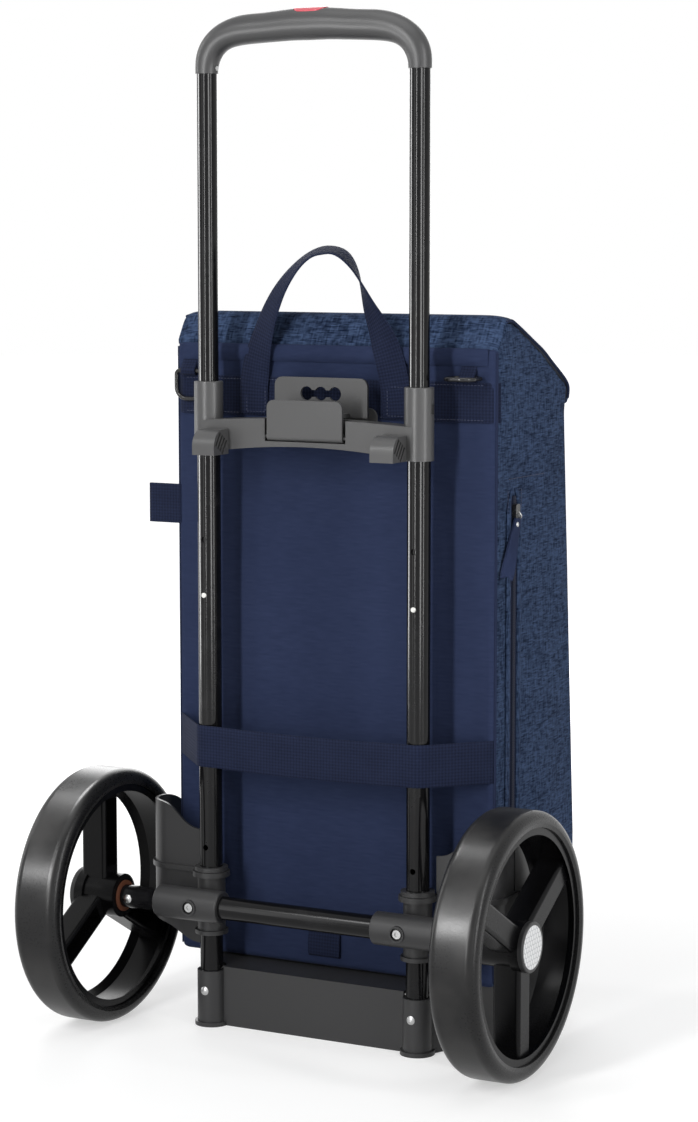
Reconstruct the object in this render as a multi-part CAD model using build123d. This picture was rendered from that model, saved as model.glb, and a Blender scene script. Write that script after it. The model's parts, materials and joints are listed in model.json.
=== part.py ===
"""Shopping trolley on two wheels: a telescopic steel rack that carries a removable fabric bag."""

import os
from math import asin, atan2, cos, degrees, hypot, radians, sin, sqrt, tan

from build123d import *

# Frame: X runs across, +Y from the handle side towards the bag, +Z up.
# The origin lies on the floor, midway between the two posts. All sizes are in millimetres.

# Clearances
seat = 0.1
running = 0.06
slide = 0.08
soft_gap = 0.3

# Posts and handle tubes
post_spacing = 222.0
post_d = 22.0
tube_wall = 1.2
post_foot_z = 6.0
post_top_drop = 16.0
handle_tube_gap = 0.3
handle_tube_tail = 21.0
lock_z = 419.0
lock_lift = 53.0
lock_drop = 244.0
lock_pin_d = 5.0
lock_pin_proud = 1.2
lock_flange_inset = 2.6
leaf_thick = 0.8
end_bush_h = 6.0

# Grip and its release mechanism
grip_joint_z = 908.0
grip_rise = 42.5
grip_neck = 3.0
grip_bend_r = 35.0
grip_wall = 1.2
grip_mid_depth = 14.5
grip_mid_thick = 14.6
grip_bend_share = 0.7
tube_in_grip = 9.5
button_length = 34.0
button_width = 19.0
button_proud = 0.6
button_edge_r = 0.4
button_travel = 4.0
yoke_thick = 4.0
yoke_width = 5.0
yoke_drop = 16.5
spring_wall = 0.8
release_rod_d = 5.0
release_rod_rise = 18.0
grip_screw_d = 3.0
grip_screw_head_d = 5.0
grip_screw_head_h = 1.0
grip_screw_inset = 0.5

# Bridge between the posts
bridge_foot_z = 555.0
bridge_height = 67.0
collar_wall = 2.7
collar_lip = 2.0
collar_slot_width = 6.0
collar_slot_height = 9.0
collar_slot_depth = 1.8
collar_slot_drop = 20.0
bar_proud = 0.3
bar_back_y = 8.0
bar_skin = 3.5
bar_mid_top = 35.0
bar_end_top = 31.0
bar_mid_foot = 9.0
lug_inset = 17.7
lug_width = 23.6
lug_reach = 27.0
lug_height = 23.5
lug_wall = 2.8
lug_round = 16.0
lug_slots = 4
lug_slot_width = 2.4
lug_slot_pitch = 4.6
lug_slot_lean = -35.0

# Latch lever on the bridge
lever_width = 79.0
lever_height = 34.0
lever_thick = 3.0
lever_pin_inset = 2.5
lever_pin_rise = 18.0
lever_pin_d = 3.6
lever_barrel_d = 8.0
lever_side_gap = 3.0
lever_corner_r = 7.0
notch_floor = 13.4
pin_seat_depth = 9.0

# Base
base_deck_z = 58.0
base_wall = 3.0
base_side_inset = 7.0
base_front_inset = 3.0
base_flare_y = 92.0
base_shoulder = 7.0
base_corner_r = 22.0
base_ribs = 3
socket_wall = 3.0
socket_top_drop = 4.0
socket_foot_proud = 2.5
socket_foot_h = 4.0
rivet_z = 35.0
rivet_head_d = 8.4
rivet_head_h = 1.6
rivet_shank_d = 4.8

# Axle, tees and wheels
axle_gap = 6.0
wheel_r = 123.0
wheel_width = 47.6
bag_wheel_gap = 23.0
tyre_depth = 11.0
tyre_side = 3.3
tyre_round = 9.5
tyre_bead = 4.0
tyre_step = 1.2
rim_lip_depth = 22.0
rim_web_depth = 17.0
rim_flare = 8.0
spoke_count = 3
spoke_width = 25.0
spoke_depth = 27.0
spoke_round = 4.0
spoke_wall = 3.5
spoke_inset = 4.0
hub_d = 42.0
hub_cap_proud = 2.5
hub_cap_h = 5.0
hub_recess_gap = 2.0
hub_recess_depth = 9.0
cap_ring = 3.5
cap_spigot_wall = 2.4
cap_spigot_h = 3.0
reflector_h = 1.5
axle_d = 12.0
hub_bush_wall = 3.0
hub_bush_length = 13.0
hub_flange_proud = 3.0
hub_flange_h = 1.5
clip_proud = 4.0
clip_h = 1.8
clip_bite = 1.0
washer_proud = 4.0
washer_h = 1.6
cross_tube_d = 22.0
insert_length = 24.0
stub_rivet_inset = 9.0
tee_inner_reach = 29.0
tee_length = 70.0
tee_rise = 32.5
tee_drop = 33.0
tee_wall = 2.5
tee_flange_proud = 2.5
tee_flange_h = 4.0
sleeve_wall = 4.5
tee_screw_d = 4.8
tee_screw_head_d = 8.4
tee_screw_head_h = 3.4
tee_screw_sink = 1.2
tee_screw_recess_d = 12.0
tee_screw_key = 2.4
tee_screw_boss_d = 15.5
tee_screw_boss_h = 1.4

# Side guards, with heights measured from the axle
guard_wall = 3.0
guard_y = 8.0
guard_front_y = 100.0
guard_rise = 89.0
guard_inner_rise = 65.0
guard_front_rise = 25.0
guard_drop = 28.0
guard_inner_drop = 47.0
guard_corner_r = 22.0
guard_band_width = 8.0
guard_band_h = 5.0
guard_wheel_gap = 2.5
guard_ring_wall = 4.5
guard_groove_y = 46.0
guard_groove_width = 4.0
guard_groove_depth = 1.0

# Bag
bag_half_width = 170.0
bag_back_y = 40.0
bag_depth = 189.0
bag_panel = 4.0
bag_back_top_z = 657.0
bag_ridge_rise = 29.0
bag_ridge_inset = 18.0
bag_ridge_width = 16.0
bag_front_top_drop = 45.0
bag_front_lean = 32.0
bag_belly_rise = 117.7
bag_nose_proud = 11.0
bag_nose_drop = 40.0
bag_nose_height = 17.0
lid_hinge_strip = 4.0
board_thick = 3.0
board_inset = 6.0
web_thick = 1.8
band_drop = 69.0
band_height = 37.0
band_inset = 5.0
strap_foot_z = 254.0
strap_height = 40.0
strap_thick = 1.6
strap_gap = 1.0
carry_width = 28.0
carry_foot_x = 72.0
carry_foot_drop = 61.0
carry_knee_x = 60.0
carry_knee_drop = 2.0
carry_peak_rise = 92.0
carry_bend_r = 26.0
side_tab_reach = 34.0
side_tab_foot_z = 480.0
side_tab_height = 39.0
side_tab_thick = 3.8
lower_tab_x = -8.0
lower_tab_width = 35.0
lower_tab_rise = 9.7
lower_tab_height = 30.0
ring_left_inset = 16.0
ring_post_gap = 2.3
ring_bar_drop = 28.0
ring_width = 28.0
ring_drop = 27.0
ring_wire_d = 4.0
ring_corner_r = 11.0
ring_shoulder_r = 4.0
ring_tab_width = 16.0
ring_tab_height = 14.0
ring_tab_wall = 1.4
zip_inset = 37.0
zip_foot_z = 205.0
zip_top_z = 520.0
zip_tape_width = 24.0
zip_tape_thick = 0.9
zip_slider_z = 505.0
zip_slider_width = 9.0
zip_slider_height = 13.0
zip_slider_thick = 4.2
puller_length = 64.0
puller_width = 8.0
puller_thick = 2.0
puller_lean = 26.0

# Hanger bracket on the bag, with heights measured from the web that rests on the bridge
hanger_half_width = 49.0
hanger_plate_y = 17.0
hanger_thick = 3.0
hanger_rest_gap = 0.5
hanger_rise = 36.5
hanger_base_rise = 8.0
hanger_drop = 28.5
hanger_corner_r = 8.0
hanger_lip_half_width = 30.0
hanger_lip_inset = 8.0
hanger_lip_drop = 11.5
hanger_web = 4.0
slot_pitch = 15.0
slot_lobe_d = 13.0
slot_rise = 21.5
hanger_rivet_x = 38.0
hanger_rivet_drop = 15.5
hanger_rivet_d = 5.0
hanger_rivet_head_h = 1.5

# Worked-out sizes of the posts and the handle
post_x = post_spacing / 2
post_bore = post_d - 2 * tube_wall
bridge_top_z = bridge_foot_z + bridge_height
post_top_z = bridge_top_z - post_top_drop
handle_tube_d = post_bore - 2 * handle_tube_gap
handle_bore = handle_tube_d - 2 * tube_wall
handle_tube_foot_z = lock_z - handle_tube_tail
release_rod_foot_z = lock_z + release_rod_rise
lock_flange_y = handle_bore / 2 - lock_flange_inset
grip_mid_z = grip_joint_z + grip_rise
grip_end_r = handle_tube_d / 2 + grip_wall
grip_corner_x = post_x - grip_bend_r
grip_corner_z = grip_joint_z + grip_neck
grip_crown = grip_mid_z - grip_corner_z
grip_arch_r = (grip_crown**2 + grip_corner_x**2 - grip_bend_r**2) / (2 * (grip_crown - grip_bend_r))
grip_arch_z = grip_mid_z - grip_arch_r
button_foot_z = grip_mid_z + yoke_thick / 2 + seat
grip_screw_z = grip_joint_z + tube_in_grip / 2
grip_screw_seat = handle_tube_d / 2 + grip_screw_inset
yoke_r = (post_x**2 + yoke_drop**2) / (2 * yoke_drop)
yoke_z = grip_mid_z - yoke_r
yoke_foot_z = yoke_z + sqrt((yoke_r - yoke_thick / 2) ** 2 - post_x**2)

# Worked-out sizes of the bridge and its lever
collar_d = post_d + 2 * collar_wall
bar_front_y = -collar_d / 2 - bar_proud
bar_mid_top_z = bridge_foot_z + bar_mid_top
bar_end_top_z = bridge_foot_z + bar_end_top
bar_mid_foot_z = bridge_foot_z + bar_mid_foot
notch_floor_z = bridge_foot_z + notch_floor
lever_pin_y = bar_front_y + lever_pin_inset
lever_pin_z = bridge_foot_z + lever_pin_rise

# Worked-out sizes of the bag
bag_floor_z = base_deck_z + soft_gap
bag_ridge_z = bag_back_top_z + bag_ridge_rise
bag_ridge_back_y = bag_back_y + bag_ridge_inset
bag_ridge_front_y = bag_ridge_back_y + bag_ridge_width
bag_belly_y = bag_back_y + bag_depth
bag_belly_z = bag_floor_z + bag_belly_rise
bag_front_top_y = bag_belly_y - bag_front_lean
bag_front_top_z = bag_back_top_z - bag_front_top_drop
bag_nose_y = bag_front_top_y + bag_nose_proud
bag_nose_top_z = bag_back_top_z - bag_nose_drop
bag_nose_foot_z = bag_nose_top_z - bag_nose_height
lid_fall = (bag_ridge_z - bag_nose_top_z) / (bag_nose_y - bag_ridge_front_y)
lid_drop = bag_panel * sqrt(1 + lid_fall**2)
lid_fold_y = bag_ridge_back_y + lid_hinge_strip + soft_gap + lid_drop / 2
lid_fold_z = bag_ridge_z - lid_drop / 2
bag_inner_back_y = bag_back_y + bag_panel + seat
bag_inner_top_y = bag_front_top_y - bag_panel - seat
bag_inner_belly_y = bag_belly_y - bag_panel - seat
web_back_y = bag_back_y - seat
web_front_y = web_back_y - web_thick
ring_bar_y = web_front_y - ring_wire_d / 2 - soft_gap
ring_bar_z = bag_back_top_z - ring_bar_drop
zip_y = bag_back_y + zip_inset
zip_slider_x = bag_half_width + seat + zip_tape_thick + soft_gap
hanger_web_z = bar_mid_top_z + hanger_rest_gap
hanger_back_y = web_front_y - seat

# Worked-out sizes of the base, the axle and the wheels
base_rear_y = -base_wall / 2
base_half_width = bag_half_width - base_side_inset
base_front_y = bag_belly_y - base_front_inset
socket_d = post_d + 2 * socket_wall
socket_top_z = base_deck_z - socket_top_drop
axle_y = -post_d / 2 - axle_gap - cross_tube_d / 2
axle_z = wheel_r
wheel_inner_x = bag_half_width + bag_wheel_gap
wheel_x = wheel_inner_x + wheel_width / 2
wheel_outer_x = wheel_inner_x + wheel_width
cross_tube_bore = cross_tube_d - 2 * tube_wall
cross_tube_half = wheel_inner_x - washer_h - 2 * soft_gap
stub_rivet_x = cross_tube_half - stub_rivet_inset
sleeve_d = cross_tube_d + 2 * sleeve_wall
tee_foot_z = axle_z - tee_drop
tee_top_z = axle_z + tee_rise
tee_neck_d = post_d + 2 * tee_wall
tee_flange_d = tee_neck_d + 2 * tee_flange_proud
tee_screw_y = axle_y - sleeve_d / 2 - tee_screw_boss_h
guard_x = wheel_inner_x - guard_wheel_gap - guard_band_width / 2
guard_inner_x = post_x + tee_flange_d / 2
guard_top_z = axle_z + guard_rise
guard_front_z = axle_z + guard_front_rise
guard_foot_z = axle_z - guard_inner_drop
rim_width = wheel_width - 2 * tyre_side
rim_lip_r = wheel_r - rim_lip_depth
rim_web_r = wheel_r - rim_web_depth
hub_cap_d = hub_d + 2 * hub_cap_proud
hub_bush_d = axle_d + 2 * hub_bush_wall
hub_flange_d = hub_bush_d + 2 * hub_flange_proud
hub_recess_d = hub_flange_d + 2 * hub_recess_gap
reflector_d = hub_cap_d - 2 * cap_ring
clip_x = wheel_outer_x - hub_cap_h - hub_recess_depth + hub_flange_h + soft_gap

UP = (Align.CENTER, Align.CENTER, Align.MIN)


def rod(diameter, length):
    """A round bar that stands on its local origin."""
    return Cylinder(diameter / 2, length, align=UP)


def tube(outer_d, inner_d, length):
    """A hollow round bar that stands on its local origin."""
    return rod(outer_d, length) - Pos(0, 0, -1) * rod(inner_d, length + 2)


def along_x(x, y, z):
    """Stand a local +Z piece at a point, lying along +X."""
    return Pos(x, y, z) * Rot(0, 90, 0)


def towards_back(x, y, z):
    """Stand a local +Z piece at a point, pointing along -Y."""
    return Pos(x, y, z) * Rot(90, 0, 0)


def towards_middle(x, y, z):
    """Stand a local +Z piece at a point on the right-hand side, pointing along -X."""
    return Pos(x, y, z) * Rot(0, -90, 0)


def across(outline, half_width):
    """A solid of constant side outline, given as (y, z) points, from -half_width to +half_width in X."""
    face = Plane.YZ * make_face(Polyline(*outline, close=True))
    return extrude(face, amount=half_width, both=True)


def pair(piece):
    """A right-hand piece with its mirror image."""
    return piece, mirror(piece, Plane.YZ)


# Rack


def post(side):
    """Lower post: a steel tube with three lock holes and a rivet hole in its rear wall."""
    body = Pos(0, 0, post_foot_z) * tube(post_d, post_bore, post_top_z - post_foot_z)
    for height in (lock_z, lock_z + lock_lift, lock_z - lock_drop):
        body -= towards_back(0, -post_d / 4, height) * rod(lock_pin_d + 2 * soft_gap, post_d)
    body -= towards_back(0, -post_d / 4, rivet_z) * rod(rivet_shank_d + 2 * seat, post_d)
    return Pos(side * post_x, 0, 0) * body


def base_plan():
    """Plan of the base: a straight rear wall between the posts that flares out to the platform."""
    flare_x = post_x + socket_d / 2 - 1
    right = [
        (post_x, base_rear_y),
        (flare_x, base_rear_y + base_shoulder),
        (base_half_width, base_flare_y),
        (base_half_width, base_front_y),
    ]
    left = [(-x, y) for x, y in reversed(right)]
    rear_r = base_shoulder / 4
    radii = [rear_r, rear_r, *[base_corner_r] * 4, rear_r, rear_r]
    return make_face(FilletPolyline(*right, *left, radius=radii, close=True))


def base():
    """Hollow moulded base, open underneath, with a socket for each post."""
    plan = base_plan()
    hollow = offset(plan, -base_wall, kind=Kind.INTERSECTION)
    body = extrude(plan, amount=base_deck_z)
    body -= Pos(0, 0, -1) * extrude(hollow, amount=base_deck_z - base_wall + 1)
    rib_step = 2 * base_half_width / (base_ribs + 1)
    rib_length = base_front_y - base_flare_y
    for index in range(base_ribs):
        x = -base_half_width + rib_step * (index + 1)
        rib = Box(base_wall, rib_length, base_deck_z / 2, align=(Align.CENTER, Align.MAX, Align.MAX))
        body += Pos(x, base_front_y - 1, base_deck_z - 1) * rib
    for side in (-1, 1):
        socket = rod(socket_d, socket_top_z) + rod(socket_d + 2 * socket_foot_proud, socket_foot_h)
        body -= Pos(side * post_x, 0, socket_top_z) * rod(socket_d, base_deck_z)
        body += Pos(side * post_x, 0, 0) * socket
        body -= Pos(side * post_x, 0, post_foot_z) * rod(post_d + 2 * seat, base_deck_z)
        body -= towards_back(side * post_x, -post_d / 4, rivet_z) * rod(rivet_shank_d + 2 * seat, socket_d)
    return body


def rivet(length):
    """A domed rivet: its head stands on the local XY plane, its shank goes down from it."""
    dome_r = (rivet_head_d**2 / 4 + rivet_head_h**2) / (2 * rivet_head_h)
    dome = Pos(0, 0, rivet_head_h - dome_r) * Sphere(dome_r)
    head = dome & rod(rivet_head_d, rivet_head_h)
    shank = Pos(0, 0, -length) * rod(rivet_shank_d, length + 0.5)
    return head + shank


def base_rivets():
    """Rivets that hold the posts in the sockets of the base."""
    length = (socket_d - post_bore) / 2 + tube_wall
    return pair(towards_back(post_x, -socket_d / 2 - seat, rivet_z) * rivet(length))


def right_tee():
    """Axle tee: a sleeve for the cross tube, fused to a flanged collar round the post."""
    inner_x = post_x - tee_inner_reach
    sleeve = along_x(inner_x, axle_y, axle_z) * rod(sleeve_d, tee_length)
    sleeve = fillet(sleeve.edges().filter_by(GeomType.CIRCLE), 1.5)
    neck = rod(tee_neck_d, tee_top_z - tee_foot_z)
    flange = rod(tee_flange_d, tee_flange_h)
    collar = Pos(post_x, 0, tee_foot_z) * neck
    collar += Pos(post_x, 0, tee_foot_z) * flange
    collar += Pos(post_x, 0, tee_top_z - tee_flange_h) * flange
    boss = towards_back(post_x, axle_y, axle_z) * rod(tee_screw_boss_d, sleeve_d / 2 + tee_screw_boss_h)
    body = sleeve + collar + boss
    body -= along_x(inner_x - 1, axle_y, axle_z) * rod(cross_tube_d + 2 * seat, tee_length + 2)
    body -= Pos(post_x, 0, tee_foot_z - 1) * rod(post_d + 2 * seat, tee_top_z)
    body -= towards_back(post_x, axle_y, axle_z) * rod(tee_screw_d + 2 * seat, sleeve_d)
    recess = rod(tee_screw_recess_d, 2 * tee_screw_head_h)
    body -= towards_back(post_x, tee_screw_y + tee_screw_head_h, axle_z) * recess
    return body


def tee_screws():
    """Socket screws that clamp the tees to the cross tube."""
    head = rod(tee_screw_head_d, tee_screw_head_h - tee_screw_sink)
    key = extrude(RegularPolygon(tee_screw_key, 6), amount=tee_screw_head_h)
    head -= Pos(0, 0, tee_screw_head_h / 3) * key
    length = sleeve_d / 2 + tee_screw_boss_h - tee_screw_head_h - cross_tube_bore / 2 + tube_wall
    screw = head + Pos(0, 0, -length) * rod(tee_screw_d, length + 0.5)
    seat_y = tee_screw_y + tee_screw_head_h - seat
    return [towards_back(side * post_x, seat_y, axle_z) * screw for side in (-1, 1)]


def cross_tube():
    """Cross tube that runs from hub to hub, with holes for the tee screws and insert rivets."""
    body = tube(cross_tube_d, cross_tube_bore, 2 * cross_tube_half)
    body = along_x(-cross_tube_half, axle_y, axle_z) * body
    for x in (post_x, stub_rivet_x):
        for side in (-1, 1):
            hole = rod(rivet_shank_d + 2 * seat, cross_tube_d)
            body -= towards_back(side * x, axle_y - cross_tube_d / 4, axle_z) * hole
    return body


def axle_rod():
    """Solid rod that carries both wheels, with a groove near each end for its clip."""
    half = clip_x + 2 * clip_h
    body = along_x(-half, axle_y, axle_z) * rod(axle_d, 2 * half)
    groove = tube(2 * axle_d, axle_d - 2 * clip_bite, clip_h + 2 * seat)
    for cut in pair(along_x(clip_x - seat, axle_y, axle_z) * groove):
        body -= cut
    return body


def axle_inserts():
    """Plastic inserts that centre the axle rod in the ends of the cross tube."""
    body = tube(cross_tube_bore - 2 * seat, axle_d + 2 * seat, insert_length)
    body = along_x(cross_tube_half - insert_length, axle_y, axle_z) * body
    hole = rod(rivet_shank_d + 2 * seat, cross_tube_d)
    body -= towards_back(stub_rivet_x, axle_y - axle_d / 4, axle_z) * hole
    return pair(body)


def stub_rivets():
    """Short rivets that pin the inserts in the cross tube, beside the wheels."""
    length = (cross_tube_d - axle_d) / 2 - 1
    body = towards_back(stub_rivet_x, axle_y - cross_tube_d / 2 - seat, axle_z) * rivet(length)
    return pair(body)


def axle_washers():
    """Fibre washers between the cross tube and the wheel hubs."""
    washer = tube(cross_tube_d + 2 * washer_proud, axle_d + 2 * seat, washer_h)
    return pair(along_x(cross_tube_half + soft_gap, axle_y, axle_z) * washer)


def axle_clips():
    """Push-on clips in the grooves of the axle rod."""
    clip = tube(axle_d + 2 * clip_proud, axle_d - 2 * clip_bite + 2 * seat, clip_h)
    return pair(along_x(clip_x, axle_y, axle_z) * clip)


def right_guard():
    """Side guard: a thin wall round the bag's lower corner, on a band clamped under the tee's flange."""
    ends = [(guard_inner_x, guard_y), (guard_x, guard_front_y)]
    path = FilletPolyline(ends[0], (guard_x, guard_y), ends[1], radius=guard_corner_r)
    wall = extrude(trace(path, guard_wall), amount=guard_top_z)
    wall &= guard_rear_outline()
    wall &= guard_side_outline()
    groove = Box(guard_groove_depth * 2, guard_groove_width, guard_top_z, align=UP)
    wall -= Pos(guard_x + guard_wall / 2, guard_groove_y, guard_front_z + guard_band_h) * groove
    band_z = tee_top_z - tee_flange_h - guard_band_h - soft_gap
    band = Pos(0, 0, band_z) * extrude(trace(path, guard_band_width), amount=guard_band_h)
    ring = Pos(post_x, 0, band_z) * rod(tee_neck_d + 2 * guard_ring_wall, guard_band_h)
    clear_flange = rod(tee_flange_d + 2 * soft_gap, guard_top_z)
    wall -= Pos(post_x, 0, 0) * clear_flange
    return wall + band + ring - Pos(post_x, 0, 0) * rod(tee_neck_d + 2 * seat, guard_top_z)


def guard_rear_outline():
    """Outline of the guard seen from behind: its top edge swings down towards the post."""
    outer_x = guard_x + guard_wall
    bend_x = guard_x - guard_corner_r / 2
    root_x = guard_inner_x - 1
    mid_x = (guard_inner_x + bend_x) / 2
    inner_top_z = axle_z + guard_inner_rise
    outer_foot_z = axle_z - guard_drop
    top = Bezier((root_x, inner_top_z), (mid_x, inner_top_z), (mid_x, guard_top_z), (bend_x, guard_top_z))
    foot_points = [
        (outer_x, outer_foot_z),
        (mid_x, outer_foot_z),
        (mid_x, guard_foot_z),
        (root_x, guard_foot_z),
    ]
    foot = Bezier(*foot_points)
    sides = [
        Line((bend_x, guard_top_z), (outer_x, guard_top_z)),
        Line((outer_x, guard_top_z), (outer_x, outer_foot_z)),
        Line((root_x, guard_foot_z), (root_x, inner_top_z)),
    ]
    return extrude(Plane.XZ * make_face([top, foot, *sides]), amount=2 * guard_front_y, both=True)


def guard_side_outline():
    """Outline of the guard seen from the side: its top edge falls to the front in a quarter ellipse."""
    rear_y = guard_y - guard_wall
    bend_y = guard_y + guard_corner_r
    fall = EllipticalCenterArc(
        (bend_y, guard_front_z), guard_front_y - bend_y, guard_top_z - guard_front_z, 0, arc_size=90
    )
    sides = [
        Line((bend_y, guard_top_z), (rear_y, guard_top_z)),
        Line((rear_y, guard_top_z), (rear_y, guard_foot_z)),
        Line((rear_y, guard_foot_z), (bend_y, guard_foot_z)),
        Line((bend_y, guard_foot_z), (guard_front_y, guard_front_z)),
    ]
    return extrude(Plane.YZ * make_face([fall, *sides]), amount=2 * guard_x, both=True)


def bridge():
    """Bridge moulding: a collar on each post and an arched, cored-out bar, notched for the latch lever."""
    half = post_x
    crown = ThreePointArc((-half, bar_end_top_z), (0, bar_mid_top_z), (half, bar_end_top_z))
    belly = ThreePointArc((half, bridge_foot_z), (0, bar_mid_foot_z), (-half, bridge_foot_z))
    ends = [
        Line((half, bar_end_top_z), (half, bridge_foot_z)),
        Line((-half, bridge_foot_z), (-half, bar_end_top_z)),
    ]
    outline = make_face([crown, belly, *ends])
    depth = bar_back_y - bar_front_y
    body = Pos(0, bar_back_y, 0) * extrude(Plane.XZ * outline, amount=depth)
    notch_half = lever_width / 2 + lever_side_gap
    cheek_half = notch_half + pin_seat_depth
    hollow = Pos(0, bar_back_y, 0) * extrude(Plane.XZ * offset(outline, -bar_skin), amount=depth - bar_skin)
    pocket = Box(2 * notch_half, depth, bar_mid_top_z, align=(Align.CENTER, Align.MAX, Align.MIN))
    keep = Box(2 * cheek_half, 4 * depth, 4 * bar_mid_top_z)
    body -= hollow - keep
    rear_hollow = Pos(0, bar_back_y, 0) * extrude(Plane.XZ * offset(outline, -bar_skin), amount=bar_skin)
    body -= rear_hollow & Box(2 * notch_half, 4 * depth, 4 * bar_mid_top_z)
    body -= Pos(0, bar_back_y - 2 * bar_skin, notch_floor_z) * pocket
    pin_bore = rod(lever_pin_d + 2 * seat, 2 * cheek_half - 2)
    body -= along_x(1 - cheek_half, lever_pin_y, lever_pin_z) * pin_bore
    for side in (-1, 1):
        collar = rod(collar_d, bridge_top_z - bridge_foot_z)
        collar = fillet(collar.edges().filter_by(GeomType.CIRCLE).sort_by(Axis.Z)[-1], 1.0)
        body += Pos(side * post_x, 0, bridge_foot_z) * collar
    for side in (-1, 1):
        lip_z = bridge_top_z - collar_lip
        body -= Pos(side * post_x, 0, 0) * rod(post_d + 2 * seat, lip_z)
        body -= Pos(side * post_x, 0, 0) * rod(handle_tube_d + 2 * soft_gap, 2 * bridge_top_z)
    slot = Box(2 * collar_slot_depth, collar_slot_width, collar_slot_height)
    for cut in pair(Pos(post_x + collar_d / 2, 0, bridge_top_z - collar_slot_drop) * slot):
        body -= cut
    return body


def guide_bushes():
    """Plastic bushes on top of the posts that guide the handle tubes."""
    height = bridge_top_z - collar_lip - post_top_z - 2 * seat
    bush = tube(post_d, handle_tube_d + 2 * slide, height)
    return [Pos(side * post_x, 0, post_top_z + seat) * bush for side in (-1, 1)]


def right_lug():
    """Rest lug on the bridge: a rounded shell, open below, with slanted slots in its end walls."""
    back_y = bar_front_y - seat
    front_y = back_y - lug_reach
    foot_z = bridge_foot_z
    top_z = foot_z + lug_height
    outline = FilletPolyline(
        (back_y, foot_z), (back_y, top_z), (front_y, top_z), (front_y, foot_z),
        radius=[1.0, lug_round],
    )
    face = make_face([*outline.edges(), Line((front_y, foot_z), (back_y, foot_z))])
    body = extrude(Plane.YZ * face, amount=lug_width / 2, both=True)
    core = extrude(Plane.YZ * offset(face, -lug_wall), amount=lug_width / 2 - lug_wall, both=True)
    body -= core + Pos(0, 0, -2 * lug_wall) * core
    mid_y = (front_y + back_y) / 2
    mid_z = foot_z + lug_height / 2
    slot_length = lug_height - 3 * lug_wall
    for index in range(lug_slots):
        shift = (index - (lug_slots - 1) / 2) * lug_slot_pitch
        slot = Box(2 * lug_width, lug_slot_width, slot_length)
        body -= Pos(0, mid_y, mid_z - 1) * Rot(lug_slot_lean, 0, 0) * Pos(0, shift, 0) * slot
    return Pos(post_x - lug_inset, 0, 0) * body


def lever():
    """Latch lever: a plate with rounded top corners that ends in a hinge barrel at its foot."""
    face = Pos(0, lever_pin_z + lever_height / 2) * Rectangle(lever_width, lever_height)
    plate = extrude(Plane.XZ * face, amount=lever_thick)
    top_corners = plate.edges().filter_by(Axis.Y).group_by(Axis.Z)[-1]
    plate = fillet(top_corners, lever_corner_r)
    front_y = lever_pin_y - lever_barrel_d / 2
    body = Pos(0, front_y + lever_thick, 0) * plate
    body += along_x(-lever_width / 2, lever_pin_y, lever_pin_z) * rod(lever_barrel_d, lever_width)
    bore = rod(lever_pin_d + 2 * running, 2 * lever_width)
    return body - along_x(-lever_width, lever_pin_y, lever_pin_z) * bore


def lever_pin():
    """Steel hinge pin of the latch lever, held in the cheeks of the bridge."""
    half = lever_width / 2 + lever_side_gap + pin_seat_depth - 2
    return along_x(-half, lever_pin_y, lever_pin_z) * rod(lever_pin_d, 2 * half)


# Handle


def grip_stations():
    """Centre, direction and share of the way to the middle of each section of the grip, right to left."""
    meet = degrees(atan2(grip_corner_z - grip_arch_z, grip_corner_x))
    right = [(post_x, grip_joint_z, 0.0, 0.0)]
    for share in (0.0, 0.5, 1.0):
        angle = meet * share
        x = grip_corner_x + grip_bend_r * cos(radians(angle))
        z = grip_corner_z + grip_bend_r * sin(radians(angle))
        right.append((x, z, angle, grip_bend_share * share))
    for share in (1 / 3, 2 / 3):
        angle = meet + (90 - meet) * share
        x = grip_arch_r * cos(radians(angle))
        z = grip_arch_z + grip_arch_r * sin(radians(angle))
        right.append((x, z, angle, grip_bend_share + (1 - grip_bend_share) * share))
    middle = [(0.0, grip_mid_z, 90.0, 1.0)]
    left = [(-x, z, 180 - angle, share) for x, z, angle, share in reversed(right)]
    return right + middle + left


def yoke_arch(low, high, half_width):
    """A curved bar in the grip, between two heights above the yoke's middle line, out to the posts."""
    reach = post_x + release_rod_d / 2

    def edge(offset_r):
        radius = yoke_r + offset_r
        end_z = yoke_z + sqrt(radius**2 - reach**2)
        return ThreePointArc((-reach, end_z), (0, yoke_z + radius), (reach, end_z))

    top = edge(high)
    foot = edge(low)
    ends = [Line(top @ 0, foot @ 0), Line(top @ 1, foot @ 1)]
    return extrude(Plane.XZ * make_face([top, foot, *ends]), amount=half_width, both=True)


def grip_bar(proud):
    """The arched oval bar of the grip, with its surface a given height proud."""
    sections = []
    for x, z, angle, share in grip_stations():
        direction = (-sin(radians(angle)), 0, cos(radians(angle)))
        plane = Plane(origin=(x, 0, z), x_dir=(0, 1, 0), z_dir=direction)
        depth = grip_end_r + (grip_mid_depth - grip_end_r) * share
        thick = grip_end_r + (grip_mid_thick - grip_end_r) * share
        sections.append(plane * Ellipse(depth + proud, thick + proud))
    return loft(sections)


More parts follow.
